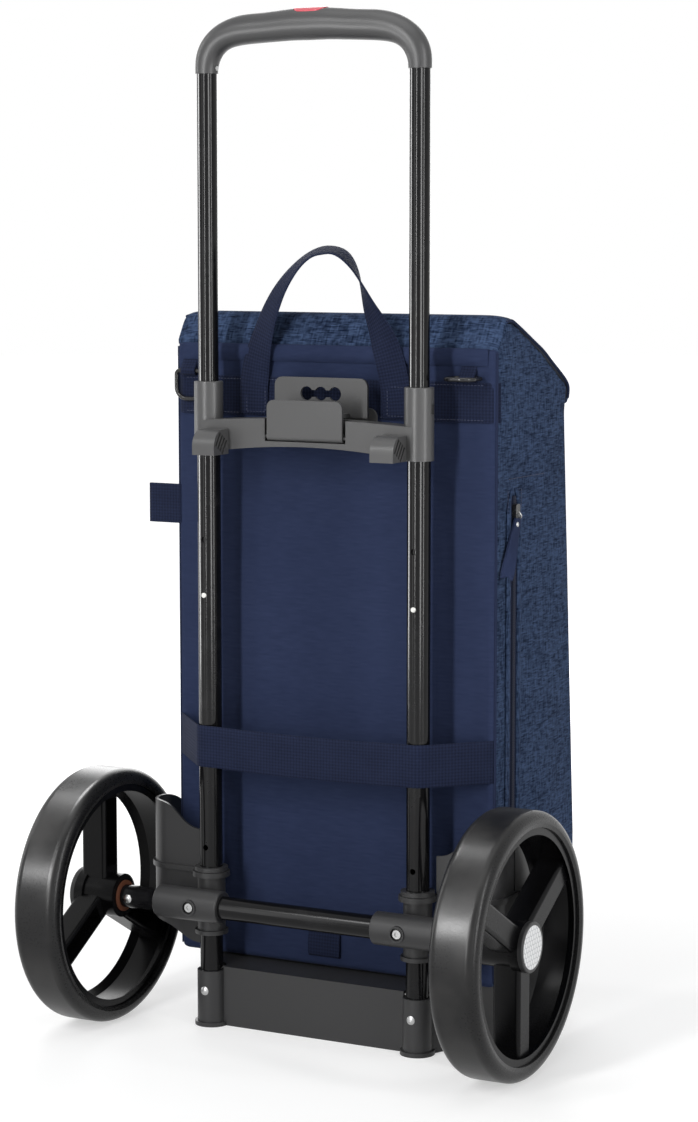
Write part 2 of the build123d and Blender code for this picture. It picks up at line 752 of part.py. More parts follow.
def grip():
    """Soft-touch grip: the arched bar with sockets for the tubes and a channel for the release yoke."""
    body = grip_bar(0.0)
    body -= yoke_arch(-yoke_thick / 2 - button_travel - 1, yoke_thick / 2 + 1, yoke_width / 2 + 1)
    button_hole = SlotOverall(button_length + 2 * soft_gap, button_width + 2 * soft_gap)
    body -= Pos(0, 0, button_foot_z - button_travel - soft_gap) * extrude(button_hole, amount=grip_rise)
    for side in (-1, 1):
        body -= Pos(side * post_x, 0, 0) * rod(handle_tube_d + 2 * seat, grip_joint_z + tube_in_grip)
        body -= Pos(side * post_x, 0, 0) * rod(release_rod_d + 3, yoke_foot_z)
    screw_bore = rod(grip_screw_d, grip_end_r)
    screw_bore += Pos(0, 0, grip_screw_seat) * rod(grip_screw_head_d + 1, grip_end_r)
    for bore in pair(towards_middle(post_x, 0, grip_screw_z) * screw_bore):
        body -= bore
    return body


def grip_screws():
    """Screws on the inner side of the grip's ends that hold the tubes."""
    tip = handle_bore / 2 - tube_wall
    screw = Pos(0, 0, tip) * rod(grip_screw_d - 2 * seat, grip_screw_seat - tip + 1)
    screw += Pos(0, 0, grip_screw_seat + seat) * rod(grip_screw_head_d, grip_screw_head_h)
    return pair(towards_middle(post_x, 0, grip_screw_z) * screw)


def release_button():
    """Oval button in the top of the grip, curved like the grip and resting on the yoke."""
    body = Pos(0, 0, button_foot_z) * extrude(SlotOverall(button_length, button_width), amount=grip_rise)
    body &= grip_bar(button_proud)
    return fillet(body.faces().sort_by(Axis.Z)[-1].edges(), button_edge_r)


def release_yoke():
    """Curved bar inside the grip that carries the press of the button out to both release rods."""
    return yoke_arch(-yoke_thick / 2, yoke_thick / 2, yoke_width / 2)


def slope_at_posts():
    """Fall of the yoke's underside per unit of X at the posts."""
    return post_x / (yoke_foot_z - yoke_z)


def release_rods():
    """Rods inside the handle tubes that push the lock springs together."""
    top_z = yoke_foot_z - release_rod_d * slope_at_posts() / 2 - seat
    body = rod(release_rod_d, top_z - release_rod_foot_z)
    body = chamfer(body.edges().group_by(Axis.Z)[0], release_rod_d / 4)
    return [Pos(side * post_x, 0, release_rod_foot_z) * body for side in (-1, 1)]


def button_spring():
    """Return spring between the floor of the grip's channel and the yoke."""
    height = button_travel + 1 - 2 * seat
    coil = tube(yoke_width, yoke_width - 2 * spring_wall, height)
    return Pos(0, 0, grip_mid_z - yoke_thick / 2 - height - seat) * coil


def handle_tube(side):
    """Handle tube that telescopes in a post, with holes for its lock pin and grip screw."""
    top_z = grip_joint_z + tube_in_grip - seat
    body = Pos(0, 0, handle_tube_foot_z) * tube(handle_tube_d, handle_bore, top_z - handle_tube_foot_z)
    body -= towards_back(0, -handle_tube_d / 4, lock_z) * rod(lock_pin_d + 2 * seat, handle_tube_d)
    body -= Pos(0, 0, grip_screw_z) * Rot(0, -90 * side, 0) * rod(grip_screw_d, handle_tube_d)
    return Pos(side * post_x, 0, 0) * body


def end_bushes():
    """Plugs in the feet of the handle tubes that slide in the posts."""
    plug = rod(post_bore - 2 * slide, end_bush_h)
    plug += Pos(0, 0, end_bush_h - 1) * rod(handle_bore - 2 * seat, end_bush_h)
    plug -= rod(handle_bore / 2, 3 * end_bush_h)
    foot_z = handle_tube_foot_z - end_bush_h - seat
    return [Pos(side * post_x, 0, foot_z) * plug for side in (-1, 1)]


def lock_springs():
    """Leaf springs bent to a U that press the lock pins out of the tubes."""
    front_y = -lock_flange_y + leaf_thick / 2 + seat
    back_y = handle_bore / 2 - lock_flange_inset
    foot_z = handle_tube_foot_z + end_bush_h + lock_flange_inset
    top_z = release_rod_foot_z - button_travel - lock_flange_inset
    bend = (back_y - front_y) / 2 - seat
    points = [(front_y, foot_z), (front_y, top_z), (back_y, top_z), (back_y, foot_z)]
    path = FilletPolyline(*points, radius=bend)
    body = extrude(Plane.YZ * trace(path, leaf_thick), amount=handle_bore / 4, both=True)
    return [Pos(side * post_x, 0, 0) * body for side in (-1, 1)]


def lock_pins():
    """Round pins with an inner flange that lock the tubes in the holes of the posts."""
    length = post_d / 2 + lock_pin_proud - lock_flange_y
    pin = rod(lock_pin_d, length)
    pin = fillet(pin.edges().group_by(Axis.Z)[-1], lock_pin_d / 5)
    pin += rod(lock_pin_d + 2, tube_wall)
    return [towards_back(side * post_x, -lock_flange_y, lock_z) * pin for side in (-1, 1)]


# Wheels, built round a local Z axis that points outwards


def on_right_hub(piece):
    """Put a wheel piece on the right end of the axle."""
    return along_x(wheel_x, axle_y, axle_z) * piece


def ring_of(profile):
    """A ring of constant section, given as (radius, height) points."""
    return revolve(Plane.XZ * make_face(Polyline(*profile, close=True)), Axis.Z)


def tyre():
    """Solid rubber tyre with rounded shoulders and a shallow step in its side walls."""
    half = wheel_width / 2
    seat_r = wheel_r - tyre_depth
    bead_r = seat_r - tyre_bead
    profile = [
        (seat_r, -rim_width / 2), (seat_r, rim_width / 2),
        (bead_r, rim_width / 2), (bead_r, half - tyre_step),
        (seat_r, half), (wheel_r, half), (wheel_r, -half), (seat_r, -half),
        (bead_r, tyre_step - half), (bead_r, -rim_width / 2),
    ]
    face = make_face(Polyline(*profile, close=True))
    shoulders = face.vertices().sort_by(Axis.X)[-2:]
    return revolve(Plane.XZ * fillet(shoulders, tyre_round), Axis.Z)


def rim(spoke_angles):
    """Plastic wheel centre: a flared rim, hollow box spokes and a deep hub."""
    half = rim_width / 2 - seat
    seat_r = wheel_r - tyre_depth - seat
    body = ring_of([
        (seat_r, -half), (seat_r, half), (rim_lip_r, half), (rim_web_r, half - rim_flare),
        (rim_web_r, rim_flare - half), (rim_lip_r, -half),
    ])
    foot = -wheel_width / 2 + soft_gap
    top = wheel_width / 2 - hub_cap_h
    hub_r = hub_d / 2
    hub = Pos(0, 0, foot) * rod(hub_d, top - foot)
    hub += Pos(0, 0, top - hub_recess_depth) * rod(hub_cap_d, hub_recess_depth)
    spoke_z = rim_width / 2 - spoke_depth / 2 - spoke_inset
    spoke_foot = hub_r - 2 * spoke_wall
    spoke_length = rim_web_r + 1 - spoke_foot
    pocket_length = rim_lip_r - hub_r - 4 * spoke_wall
    spokes = []
    pockets = []
    for angle in spoke_angles:
        turn = Rot(0, 0, angle + 90) * Pos(0, 0, spoke_z) * Rot(0, 90, 0)
        bar = Rot(0, 0, 90) * RectangleRounded(spoke_width, spoke_depth, spoke_round)
        spokes.append(turn * Pos(0, 0, spoke_foot) * extrude(bar, amount=spoke_length))
        pocket = Box(spoke_depth, spoke_width - 2 * spoke_wall, pocket_length, align=UP)
        pockets.append(turn * Pos(spoke_wall, 0, hub_r + 2 * spoke_wall) * pocket)
    body = hub + spokes + body - pockets
    body -= Pos(0, 0, foot - 1) * rod(hub_bush_d, top - foot + 2)
    body -= Pos(0, 0, top - hub_recess_depth) * rod(hub_recess_d, hub_recess_depth + 1)
    body -= Pos(0, 0, foot - 1) * rod(hub_flange_d + 2 * seat, 1 + hub_flange_h + seat)
    return body


def hub_bushes():
    """Flanged plain bearings in both ends of the hub."""
    bush = rod(hub_bush_d - 2 * seat, hub_bush_length) + rod(hub_flange_d, hub_flange_h)
    bush -= Pos(0, 0, -1) * rod(axle_d + 2 * running, hub_bush_length + 2)
    inner = Pos(0, 0, soft_gap - wheel_width / 2) * bush
    outer_z = wheel_width / 2 - hub_cap_h - hub_recess_depth + seat
    outer = Pos(0, 0, outer_z + hub_flange_h) * Rot(180, 0, 0) * bush
    return inner, outer


def hub_cap():
    """Cap over the hub's outer end, with a spigot in the hub and a seat for the reflector."""
    foot = wheel_width / 2 - hub_cap_h + seat
    body = Pos(0, 0, foot) * rod(hub_cap_d, hub_cap_h - seat)
    body = fillet(body.edges().group_by(Axis.Z)[-1], 1.5)
    spigot = tube(hub_recess_d - 2 * seat, hub_recess_d - 2 * cap_spigot_wall, cap_spigot_h)
    body += Pos(0, 0, foot + 0.5 - cap_spigot_h) * spigot
    return body - Pos(0, 0, wheel_width / 2 - reflector_h) * rod(reflector_d + 2 * seat, 2 * reflector_h)


def reflector():
    """Round reflector disc set in the hub cap."""
    return Pos(0, 0, wheel_width / 2 - reflector_h + seat) * rod(reflector_d, reflector_h - seat)


# Bag


def lid_under_z(y):
    """Height of the lid's underside at a distance from the posts."""
    return bag_ridge_z - lid_fall * (y - bag_ridge_front_y) - lid_drop


def bag_back():
    """Back panel of the bag, with its top edge under the lid strip."""
    height = bag_back_top_z - bag_floor_z
    panel = Box(2 * bag_half_width, bag_panel, height, align=(Align.CENTER, Align.MIN, Align.MIN))
    return Pos(0, bag_back_y, bag_floor_z) * panel


def bag_front():
    """Front panel of the bag, which leans out to its belly and then falls straight."""
    outer = [
        (bag_front_top_y, bag_front_top_z),
        (bag_belly_y, bag_belly_z),
        (bag_belly_y, bag_floor_z),
    ]
    inner = [(y - bag_panel, z) for y, z in reversed(outer)]
    return across(outer + inner, bag_half_width)


def right_bag_side():
    """Side panel of the bag, between the back and front panels and up to the underside of the lid."""
    ridge_y = bag_ridge_back_y + lid_hinge_strip + soft_gap
    ridge_z = lid_under_z(bag_ridge_front_y) - soft_gap
    outline = [
        (bag_inner_back_y, bag_floor_z),
        (bag_inner_belly_y, bag_floor_z),
        (bag_inner_belly_y, bag_belly_z),
        (bag_inner_top_y, bag_front_top_z),
        (bag_inner_top_y, lid_under_z(bag_inner_top_y) - soft_gap),
        (bag_ridge_front_y, ridge_z),
        (ridge_y, ridge_z),
        (bag_inner_back_y + soft_gap, bag_back_top_z - soft_gap),
    ]
    return Pos(bag_half_width - bag_panel / 2, 0, 0) * across(outline, bag_panel / 2)


def bag_floor():
    """Sewn floor of the bag, inside its four walls."""
    half = bag_half_width - bag_panel - seat
    depth = bag_inner_belly_y - bag_inner_back_y
    panel = Box(2 * half, depth, bag_panel, align=(Align.CENTER, Align.MIN, Align.MIN))
    return Pos(0, bag_inner_back_y, bag_floor_z) * panel


def base_board():
    """Loose stiffening board on the floor of the bag."""
    half = bag_half_width - bag_panel - board_inset
    plan = Rectangle(2 * half, bag_inner_belly_y - bag_inner_back_y - 2 * board_inset)
    plan = fillet(plan.vertices(), base_corner_r)
    mid_y = (bag_inner_belly_y + bag_inner_back_y) / 2
    return Pos(0, mid_y, bag_floor_z + bag_panel + seat) * extrude(plan, amount=board_thick)


def lid_strip():
    """Strip above the back panel that leans forward to the lid's fold."""
    foot_z = bag_back_top_z + seat
    fold_y = bag_ridge_back_y + lid_hinge_strip
    under_z = bag_ridge_z - bag_panel
    return across(
        [
            (bag_back_y, foot_z),
            (bag_ridge_back_y, bag_ridge_z),
            (fold_y - bag_panel / 2, bag_ridge_z),
            (fold_y, under_z),
            (bag_back_y + bag_panel, foot_z),
        ],
        bag_half_width,
    )


def lid():
    """Lid flap: a rolled edge at its fold, a short flat top, a slope and a turned-down nose."""
    under_z = lid_under_z(bag_ridge_front_y)
    inner_nose_y = bag_nose_y - bag_panel
    outline = [
        (lid_fold_y, bag_ridge_z),
        (bag_ridge_front_y, bag_ridge_z),
        (bag_nose_y, bag_nose_top_z),
        (bag_nose_y, bag_nose_foot_z),
        (inner_nose_y, bag_nose_foot_z),
        (inner_nose_y, lid_under_z(inner_nose_y)),
        (bag_ridge_front_y, under_z),
        (lid_fold_y, under_z),
    ]
    roll = along_x(-bag_half_width, lid_fold_y, lid_fold_z) * rod(bag_ridge_z - under_z, 2 * bag_half_width)
    return across(outline, bag_half_width) + roll


def back_band():
    """Webbing sewn across the back of the bag."""
    half = bag_half_width - band_inset
    band = Box(2 * half, web_thick, band_height, align=(Align.CENTER, Align.MIN, Align.MIN))
    return Pos(0, web_front_y, bag_back_top_z - band_drop) * band


def hanger():
    """Bracket on the bag: a base plate, a web that hooks over the bridge and an upright hand plate."""
    base_h = hanger_base_rise + hanger_drop
    base_face = RectangleRounded(2 * hanger_half_width, base_h, hanger_corner_r)
    base_face = Pos(0, hanger_web_z - hanger_drop + base_h / 2) * base_face
    body = Pos(0, hanger_back_y, 0) * extrude(Plane.XZ * base_face, amount=hanger_thick)
    lip_y = bar_front_y + hanger_lip_inset
    corner = (Align.CENTER, Align.MIN, Align.MIN)
    web = Box(2 * hanger_lip_half_width, hanger_back_y - lip_y, hanger_web, align=corner)
    body += Pos(0, lip_y, hanger_web_z) * web
    lip = Box(2 * hanger_lip_half_width, hanger_thick, hanger_lip_drop + 1, align=corner)
    body += Pos(0, lip_y, hanger_web_z - hanger_lip_drop) * lip
    plate = Pos(0, hanger_web_z + hanger_rise / 2) * Rectangle(2 * hanger_half_width, hanger_rise)
    plate = fillet(plate.vertices().group_by(Axis.Y)[-1], hanger_corner_r)
    slot_z = hanger_web_z + slot_rise
    for step in (-1, 0, 1):
        plate -= Pos(step * slot_pitch, slot_z) * Circle(slot_lobe_d / 2)
    plate -= Pos(0, slot_z) * Rectangle(2 * slot_pitch, slot_lobe_d / 2)
    body += Pos(0, hanger_plate_y + hanger_thick, 0) * extrude(Plane.XZ * plate, amount=hanger_thick)
    hole = rod(hanger_rivet_d + 2 * seat, bag_back_y)
    for x in (-hanger_rivet_x, hanger_rivet_x):
        body -= towards_back(x, bag_back_y, hanger_web_z - hanger_rivet_drop) * hole
    return body


def hanger_rivets():
    """Rivets that hold the hanger bracket to the bag."""
    shank = Pos(0, 0, -hanger_thick) * rod(hanger_rivet_d, hanger_thick + 1)
    body = shank + Pos(0, 0, seat) * rod(2 * hanger_rivet_d, hanger_rivet_head_h)
    height = hanger_web_z - hanger_rivet_drop
    return pair(towards_back(hanger_rivet_x, hanger_back_y - hanger_thick, height) * body)


def rack_strap():
    """Webbing strap from one edge of the bag round the front of both posts to the other, in five runs."""
    round_r = post_d / 2 + strap_gap + strap_thick / 2
    end_x = bag_half_width - strap_thick
    end_y = bag_back_y - strap_thick
    reach = hypot(end_x - post_x, end_y)
    slant = atan2(end_y, end_x - post_x) + asin(round_r / reach)
    touch = (post_x + round_r * sin(slant), -round_r * cos(slant))
    joint = degrees(seat / round_r)
    lines = [
        Line((-post_x, -round_r), (post_x, -round_r)),
        CenterArc((post_x, 0), round_r, joint - 90, degrees(slant) - 2 * joint),
        Line(touch, (end_x, end_y)),
    ]
    flat = [Pos(0, 0, strap_foot_z) * trace(line, strap_thick) for line in lines]
    front, turn, side = [extrude(face, amount=strap_height) for face in flat]
    return [front, *pair(turn), *pair(side)]


def carry_handle():
    """Carry handle of folded webbing, sewn to the back band at both ends."""
    right = [(carry_knee_x, -carry_knee_drop), (carry_foot_x, -carry_foot_drop)]
    left = [(-x, z) for x, z in reversed(right)]
    path = FilletPolyline(*left, (0, carry_peak_rise), *right, radius=carry_bend_r)
    loop = extrude(Plane.XZ * trace(path, carry_width), amount=web_thick)
    return Pos(0, web_front_y - seat, bag_back_top_z) * loop


def side_tab():
    """Folded webbing tab in the left rear seam of the bag."""
    tab = Box(side_tab_reach, side_tab_thick, side_tab_height, align=(Align.MAX, Align.MIN, Align.MIN))
    tab = fillet(tab.edges().filter_by(Axis.Z).group_by(Axis.X)[0], side_tab_thick / 2 - seat)
    return Pos(-bag_half_width - seat, bag_back_y, side_tab_foot_z) * tab


def lower_tab():
    """Short webbing tab low on the back panel."""
    tab = Box(lower_tab_width, 2 * web_thick, lower_tab_height, align=(Align.CENTER, Align.MAX, Align.MIN))
    return Pos(lower_tab_x, web_back_y, bag_floor_z + lower_tab_rise) * tab


def ring_tabs():
    """Webbing loops that hold the bars of the D-rings."""
    wrap_r = ring_wire_d / 2 + running
    depth = wrap_r + ring_tab_wall
    reach = web_back_y - ring_bar_y + depth
    corner = (Align.CENTER, Align.MIN, Align.MIN)
    tab = Pos(0, -depth, -depth) * Box(ring_tab_width, reach, ring_tab_height, align=corner)
    tab -= along_x(-ring_tab_width, 0, 0) * rod(2 * wrap_r, 2 * ring_tab_width)
    return [Pos(x, ring_bar_y, ring_bar_z) * tab for x in ring_centres()]


def ring_centres():
    """Middles of the left and right D-rings."""
    right_x = post_x + collar_d / 2 + ring_post_gap + ring_width / 2 + ring_wire_d / 2
    return ring_left_inset - bag_half_width, right_x


def d_ring():
    """D-ring that hangs from a bar along X through its local origin."""
    half = ring_width / 2
    path = FilletPolyline(
        (-half, 0), (half, 0), (half, -ring_drop), (-half, -ring_drop),
        radius=[ring_shoulder_r, ring_shoulder_r, ring_corner_r, ring_corner_r], close=True,
    )
    start = Plane(origin=(0, 0, 0), z_dir=(1, 0, 0))
    return sweep(start * Circle(ring_wire_d / 2), path=Plane.XZ * path)


def left_d_ring():
    """Left D-ring, which hangs down."""
    return Pos(ring_centres()[0], ring_bar_y, ring_bar_z) * d_ring()


def right_d_ring():
    """Right D-ring, which stands straight out."""
    return Pos(ring_centres()[1], ring_bar_y, ring_bar_z) * Rot(-90, 0, 0) * d_ring()


def zip_tape():
    """Tape and closed teeth of the side pocket's zip."""
    height = zip_top_z - zip_foot_z
    tape = Box(zip_tape_thick, zip_tape_width, height, align=(Align.MIN, Align.CENTER, Align.MIN))
    return Pos(bag_half_width + seat, zip_y, zip_foot_z) * tape


def zip_slider():
    """Slider of the pocket zip, with the bridge that its puller hangs from."""
    inner_face = (Align.MIN, Align.CENTER, Align.CENTER)
    body = Box(zip_slider_thick, zip_slider_width, zip_slider_height, align=inner_face)
    body = fillet(body.edges().filter_by(Axis.X), zip_slider_width / 4)
    return Pos(zip_slider_x, zip_y, zip_slider_z) * body


def zip_puller():
    """Fabric puller that hangs from the slider and leans towards the back of the bag."""
    strip = Box(puller_thick, puller_width, puller_length, align=(Align.MIN, Align.CENTER, Align.MAX))
    strip = fillet(strip.edges().filter_by(Axis.X), puller_width / 4)
    foot = zip_slider_z - zip_slider_height / 2 - soft_gap
    drop = puller_width / 2 * sin(radians(puller_lean))
    return Pos(zip_slider_x, zip_y, foot - drop) * Rot(-puller_lean, 0, 0) * strip


# One file per piece

RIGHT_SPOKES = [30 + 360 / spoke_count * index for index in range(spoke_count)]
LEFT_SPOKES = [90 + 360 / spoke_count * index for index in range(spoke_count)]


def write(name, *pieces):
    """Write one named piece, or one group of like pieces, as a STEP file."""
    solids = [solid for piece in pieces for solid in piece.solids()]
    shape = solids[0] if len(solids) == 1 else Compound(solids)
    export_step(shape, os.path.join("parts", name + ".step"))


def write_rack():
    """Write the pieces that stand still."""
    write("left_post", post(-1))
    write("right_post", post(1))
    write("base", base())
    write("frame_rivets", *base_rivets(), *stub_rivets())
    for name, piece in zip(("right_axle_tee", "left_axle_tee"), pair(right_tee())):
        write(name, piece)
    write("tee_screws", *tee_screws())
    write("cross_tube", cross_tube())
    write("axle_rod", axle_rod())
    write("axle_inserts", *axle_inserts())
    write("axle_washers", *axle_washers())
    write("axle_clips", *axle_clips())
    for name, piece in zip(("right_side_guard", "left_side_guard"), pair(right_guard())):
        write(name, piece)
    write("bridge", bridge())
    write("guide_bushes", *guide_bushes())
    write("rest_lugs", *pair(right_lug()))
    write("latch_lever", lever())
    write("latch_pin", lever_pin())


def write_handle():
    """Write the pieces that telescope in the posts."""
    write("grip", grip())
    write("left_handle_tube", handle_tube(-1))
    write("right_handle_tube", handle_tube(1))
    write("grip_screws", *grip_screws())
    write("end_bushes", *end_bushes())
    write("lock_springs", *lock_springs())
    write("lock_pins", *lock_pins())
    write("release_button", release_button())
    write("release_yoke", release_yoke())
    write("release_rods", *release_rods())
    write("button_spring", button_spring())


def write_wheels():
    """Write the pieces of both wheels."""
    spokes = {"right": RIGHT_SPOKES, "left": LEFT_SPOKES}
    for name, angles in spokes.items():
        pieces = {
            "tyre": [tyre()],
            "rim": [rim(angles)],
            "hub_bushes": hub_bushes(),
            "hub_cap": [hub_cap()],
            "reflector": [reflector()],
        }
        for piece_name, group in pieces.items():
            placed = [on_right_hub(piece) for piece in group]
            if name == "left":
                placed = [mirror(piece, Plane.YZ) for piece in placed]
            write(name + "_" + piece_name, *placed)


def write_bag():
    """Write the bag and what is sewn or fixed to it."""
    write("bag_back", bag_back())
    write("bag_front", bag_front())
    for name, piece in zip(("bag_right_side", "bag_left_side"), pair(right_bag_side())):
        write(name, piece)
    write("bag_floor", bag_floor())
    write("base_board", base_board())
    write("lid_strip", lid_strip())
    write("lid", lid())
    write("back_band", back_band())
    write("hanger", hanger())
    write("hanger_rivets", *hanger_rivets())
    write("rack_strap", *rack_strap())
    write("carry_handle", carry_handle())
    write("webbing_tabs", side_tab(), lower_tab(), *ring_tabs())
    write("left_d_ring", left_d_ring())
    write("right_d_ring", right_d_ring())
    write("zip_tape", zip_tape())
    write("zip_slider", zip_slider())
    write("zip_puller", zip_puller())


os.makedirs("parts", exist_ok=True)
write_rack()
write_handle()
write_wheels()
write_bag()
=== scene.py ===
# %% [markdown]
# # A shopping trolley on wheels
# The trolley is a telescopic rack of black tubes that carries a lift-off fabric bag. The rack, the wheels
# and the fittings come from the imported CAD model and keep their exact shape. Blender makes what CAD is poor
# at: cloth that bulges between its seams, woven straps, thread, and the finish of every surface. The first
# cell loads the CAD model and its record.

# %% Load the frame
import json
import math

import bmesh
import bpy
from mathutils import Matrix, Vector
from mathutils import noise as field
from mathutils.bvhtree import BVHTree


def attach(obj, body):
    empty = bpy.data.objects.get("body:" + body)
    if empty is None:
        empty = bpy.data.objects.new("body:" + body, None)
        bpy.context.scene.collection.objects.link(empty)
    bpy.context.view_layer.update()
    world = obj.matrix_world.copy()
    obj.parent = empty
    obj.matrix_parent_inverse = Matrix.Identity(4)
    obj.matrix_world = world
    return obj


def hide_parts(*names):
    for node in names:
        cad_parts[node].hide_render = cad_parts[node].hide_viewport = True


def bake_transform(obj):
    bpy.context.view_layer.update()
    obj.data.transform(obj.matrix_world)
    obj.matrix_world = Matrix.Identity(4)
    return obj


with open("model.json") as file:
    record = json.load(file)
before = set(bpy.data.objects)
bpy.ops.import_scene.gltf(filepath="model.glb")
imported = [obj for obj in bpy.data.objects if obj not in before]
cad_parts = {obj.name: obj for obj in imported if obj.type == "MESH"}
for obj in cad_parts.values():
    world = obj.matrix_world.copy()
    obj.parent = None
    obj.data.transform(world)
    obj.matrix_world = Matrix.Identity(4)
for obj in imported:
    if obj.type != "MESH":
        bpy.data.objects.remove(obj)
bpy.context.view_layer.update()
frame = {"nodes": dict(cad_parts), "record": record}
MM = 0.001
scene = bpy.context.scene
scene.view_settings.view_transform = "Standard"

# %% [markdown]
# The camera stands behind the trolley, to the right of the posts, and looks slightly down. A long lens
# keeps the posts nearly parallel. Its focal length is known in pixels of a frame 1122 pixels high. The
# sensor's 36 mm lie along that longer side, so the height turns pixels into millimetres.

# %% Camera
FRAME_HEIGHT, FOCAL_PIXELS, SENSOR = 1122, 2888.98, 36
CAMERA_DISTANCE = 2676.74 * MM
azimuth, elevation = math.radians(27.852), math.radians(6.724)
look_at = Vector((38.88, 0, 458.93)) * MM
level = math.cos(elevation)
towards_camera = Vector((math.sin(azimuth) * level, -math.cos(azimuth) * level, math.sin(elevation)))
camera = bpy.data.objects.new("camera", bpy.data.cameras.new("camera"))
camera.data.sensor_width = SENSOR
camera.data.lens = SENSOR * FOCAL_PIXELS / FRAME_HEIGHT
camera.location = look_at + towards_camera * CAMERA_DISTANCE
camera.rotation_euler = (-towards_camera).to_track_quat("-Z", "Y").to_euler()
scene.collection.objects.link(camera)
scene.camera = camera
print("camera", round(camera.data.lens, 2), "mm lens")

# %% [markdown]
# Shader maths is easier to read as arithmetic than as a tangle of links. A Wire holds one socket, and every
# operator on it adds a Math node to the same material. A Shade is one material in the making. Its one
# method adds any other node: the settings go on first, then the values or wires of its inputs.


# %% Shader helpers
def maths(operation, swapped=False):
    """A method for one operator. It adds a Math node to the wire's material."""

    def method(self, other):
        pair = (other, self) if swapped else (self, other)
        return self.shade.calc(operation, *pair)

    return method


class Wire:
    """A socket of a material. Arithmetic on it adds Math nodes."""

    def __init__(self, shade, socket):
        self.shade = shade
        self.socket = socket

    def alone(self, operation):
        return self.shade.calc(operation, self)

    def __abs__(self):
        return self.alone("ABSOLUTE")

    __add__, __radd__ = maths("ADD"), maths("ADD", True)
    __sub__, __rsub__ = maths("SUBTRACT"), maths("SUBTRACT", True)
    __mul__, __rmul__ = maths("MULTIPLY"), maths("MULTIPLY", True)
    __truediv__ = maths("DIVIDE")
    __pow__ = maths("POWER")
    __mod__ = maths("FLOORED_MODULO")
    __gt__ = maths("GREATER_THAN")


class Shade:
    """One material in the making, with a Principled shader at its end. The sky is made in the same way."""

    def __init__(self, name, library="materials", end="Principled BSDF"):
        self.material = getattr(bpy.data, library).new(name)
        self.material.use_nodes = True
        self.tree = self.material.node_tree
        self.surface = self.tree.nodes[end]

    def node(self, kind, settings=None, inputs=None, out=0):
        made = self.tree.nodes.new("ShaderNode" + kind)
        for key, value in (settings or {}).items():
            if key == "stops":
                ramp = made.color_ramp.elements
                for index, (place, colour) in enumerate(value):
                    stop = ramp[index] if index < 2 else ramp.new(place)
                    stop.position = place
                    stop.color = (*colour, 1)
            else:
                setattr(made, key, value)
        for key, value in (inputs or {}).items():
            self.feed(made.inputs[key], value)
        return Wire(self, made.outputs[out])

    def calc(self, operation, *values):
        return self.node("Math", {"operation": operation}, dict(enumerate(values)))

    def feed(self, socket, value):
        if isinstance(value, Wire):
            self.tree.links.new(value.socket, socket)
        elif hasattr(value, "__len__") and len(value) == 3 and socket.type == "RGBA":
            socket.default_value = (*value, 1)
        else:
            socket.default_value = value

    def finish(self, **sockets):
        for name, value in sockets.items():
            self.feed(self.surface.inputs[name.replace("_", " ")], value)
        return self.material

    def spot(self, scale=(1, 1, 1), uv=False):
        """Object coordinates, or the cloth's own flat coordinates, in metres times a scale."""
        if uv:
            flat = self.node("UVMap", {"uv_map": "cloth"})
        else:
            flat = self.node("TexCoord", out="Object")
        return self.node("VectorMath", {"operation": "MULTIPLY"}, {0: flat, 1: scale})

    def axes(self, vector):
        return [self.node("SeparateXYZ", inputs={0: vector}, out=i) for i in range(3)]

    def vector(self, x, y, z=0.0):
        return self.node("CombineXYZ", inputs={0: x, 1: y, 2: z})

    def noise(self, vector, scale, detail=2.0, roughness=0.5):
        inputs = {"Vector": vector, "Scale": scale, "Detail": detail, "Roughness": roughness}
        return self.node("TexNoise", inputs=inputs)

    def between(self, wire, low, high, start=0.0, end=1.0):
        """A smooth step from start to end while the wire goes from low to high."""
        settings = {"interpolation_type": "SMOOTHSTEP"}
        inputs = {0: wire, 1: low, 2: high, 3: start, 4: end}
        return self.node("MapRange", settings, inputs)

    def mix(self, factor, first, second):
        return self.node("Mix", {"data_type": "RGBA"}, {0: factor, 6: first, 7: second}, out=2)

    def bump(self, height, strength, distance):
        inputs = {"Height": height, "Strength": strength, "Distance": distance}
        return self.node("Bump", inputs=inputs)


print("shader helpers ready")

# %% [markdown]
# The studio is plain: a pale floor that runs out into white, tall narrow softboxes on the camera's side, on
# the right and on the left, a wide one overhead and another on the far side. A glossy tube shows each tall
# one as a long thin line. Six more lamps are for gloss alone, and light linking keeps them to the tubes,
# the tyres and the grip, so that nothing else goes white. The floor is a flat disc. Only what the camera or
# a reflection sees of it is lifted to white, more so with the distance, so the shadow stays and the edge of
# the disc disappears.


# %% Studio
MIDDLE = Vector((0, 0.05, 0.5))
SHADE_SKY, FLOOR_RADIUS = 0.07, 14.0


def lit_pieces(slot):
    """A collection of the CAD nodes that have this finish, for lamps that light nothing else."""
    pieces = bpy.data.collections.new("lit_" + slot)
    for part in frame["record"]["subparts"]:
        if part["material_slot"] == slot:
            pieces.objects.link(frame["nodes"][part["node"]])
    return pieces


def softbox(name, place, size, watts, gloss_on=None):
    """A lamp that looks at the trolley. With gloss_on it only adds gloss, and only to those pieces."""
    lamp = bpy.data.lights.new(name, "AREA")
    lamp.shape = "RECTANGLE"
    lamp.size, lamp.size_y = size
    lamp.energy = watts
    holder = bpy.data.objects.new(name, lamp)
    holder.location = place
    holder.rotation_euler = (MIDDLE - Vector(place)).to_track_quat("-Z", "Y").to_euler()
    holder.visible_camera = False
    if gloss_on:
        holder.visible_diffuse = False
        holder.light_linking.receiver_collection = gloss_on
    scene.collection.objects.link(holder)


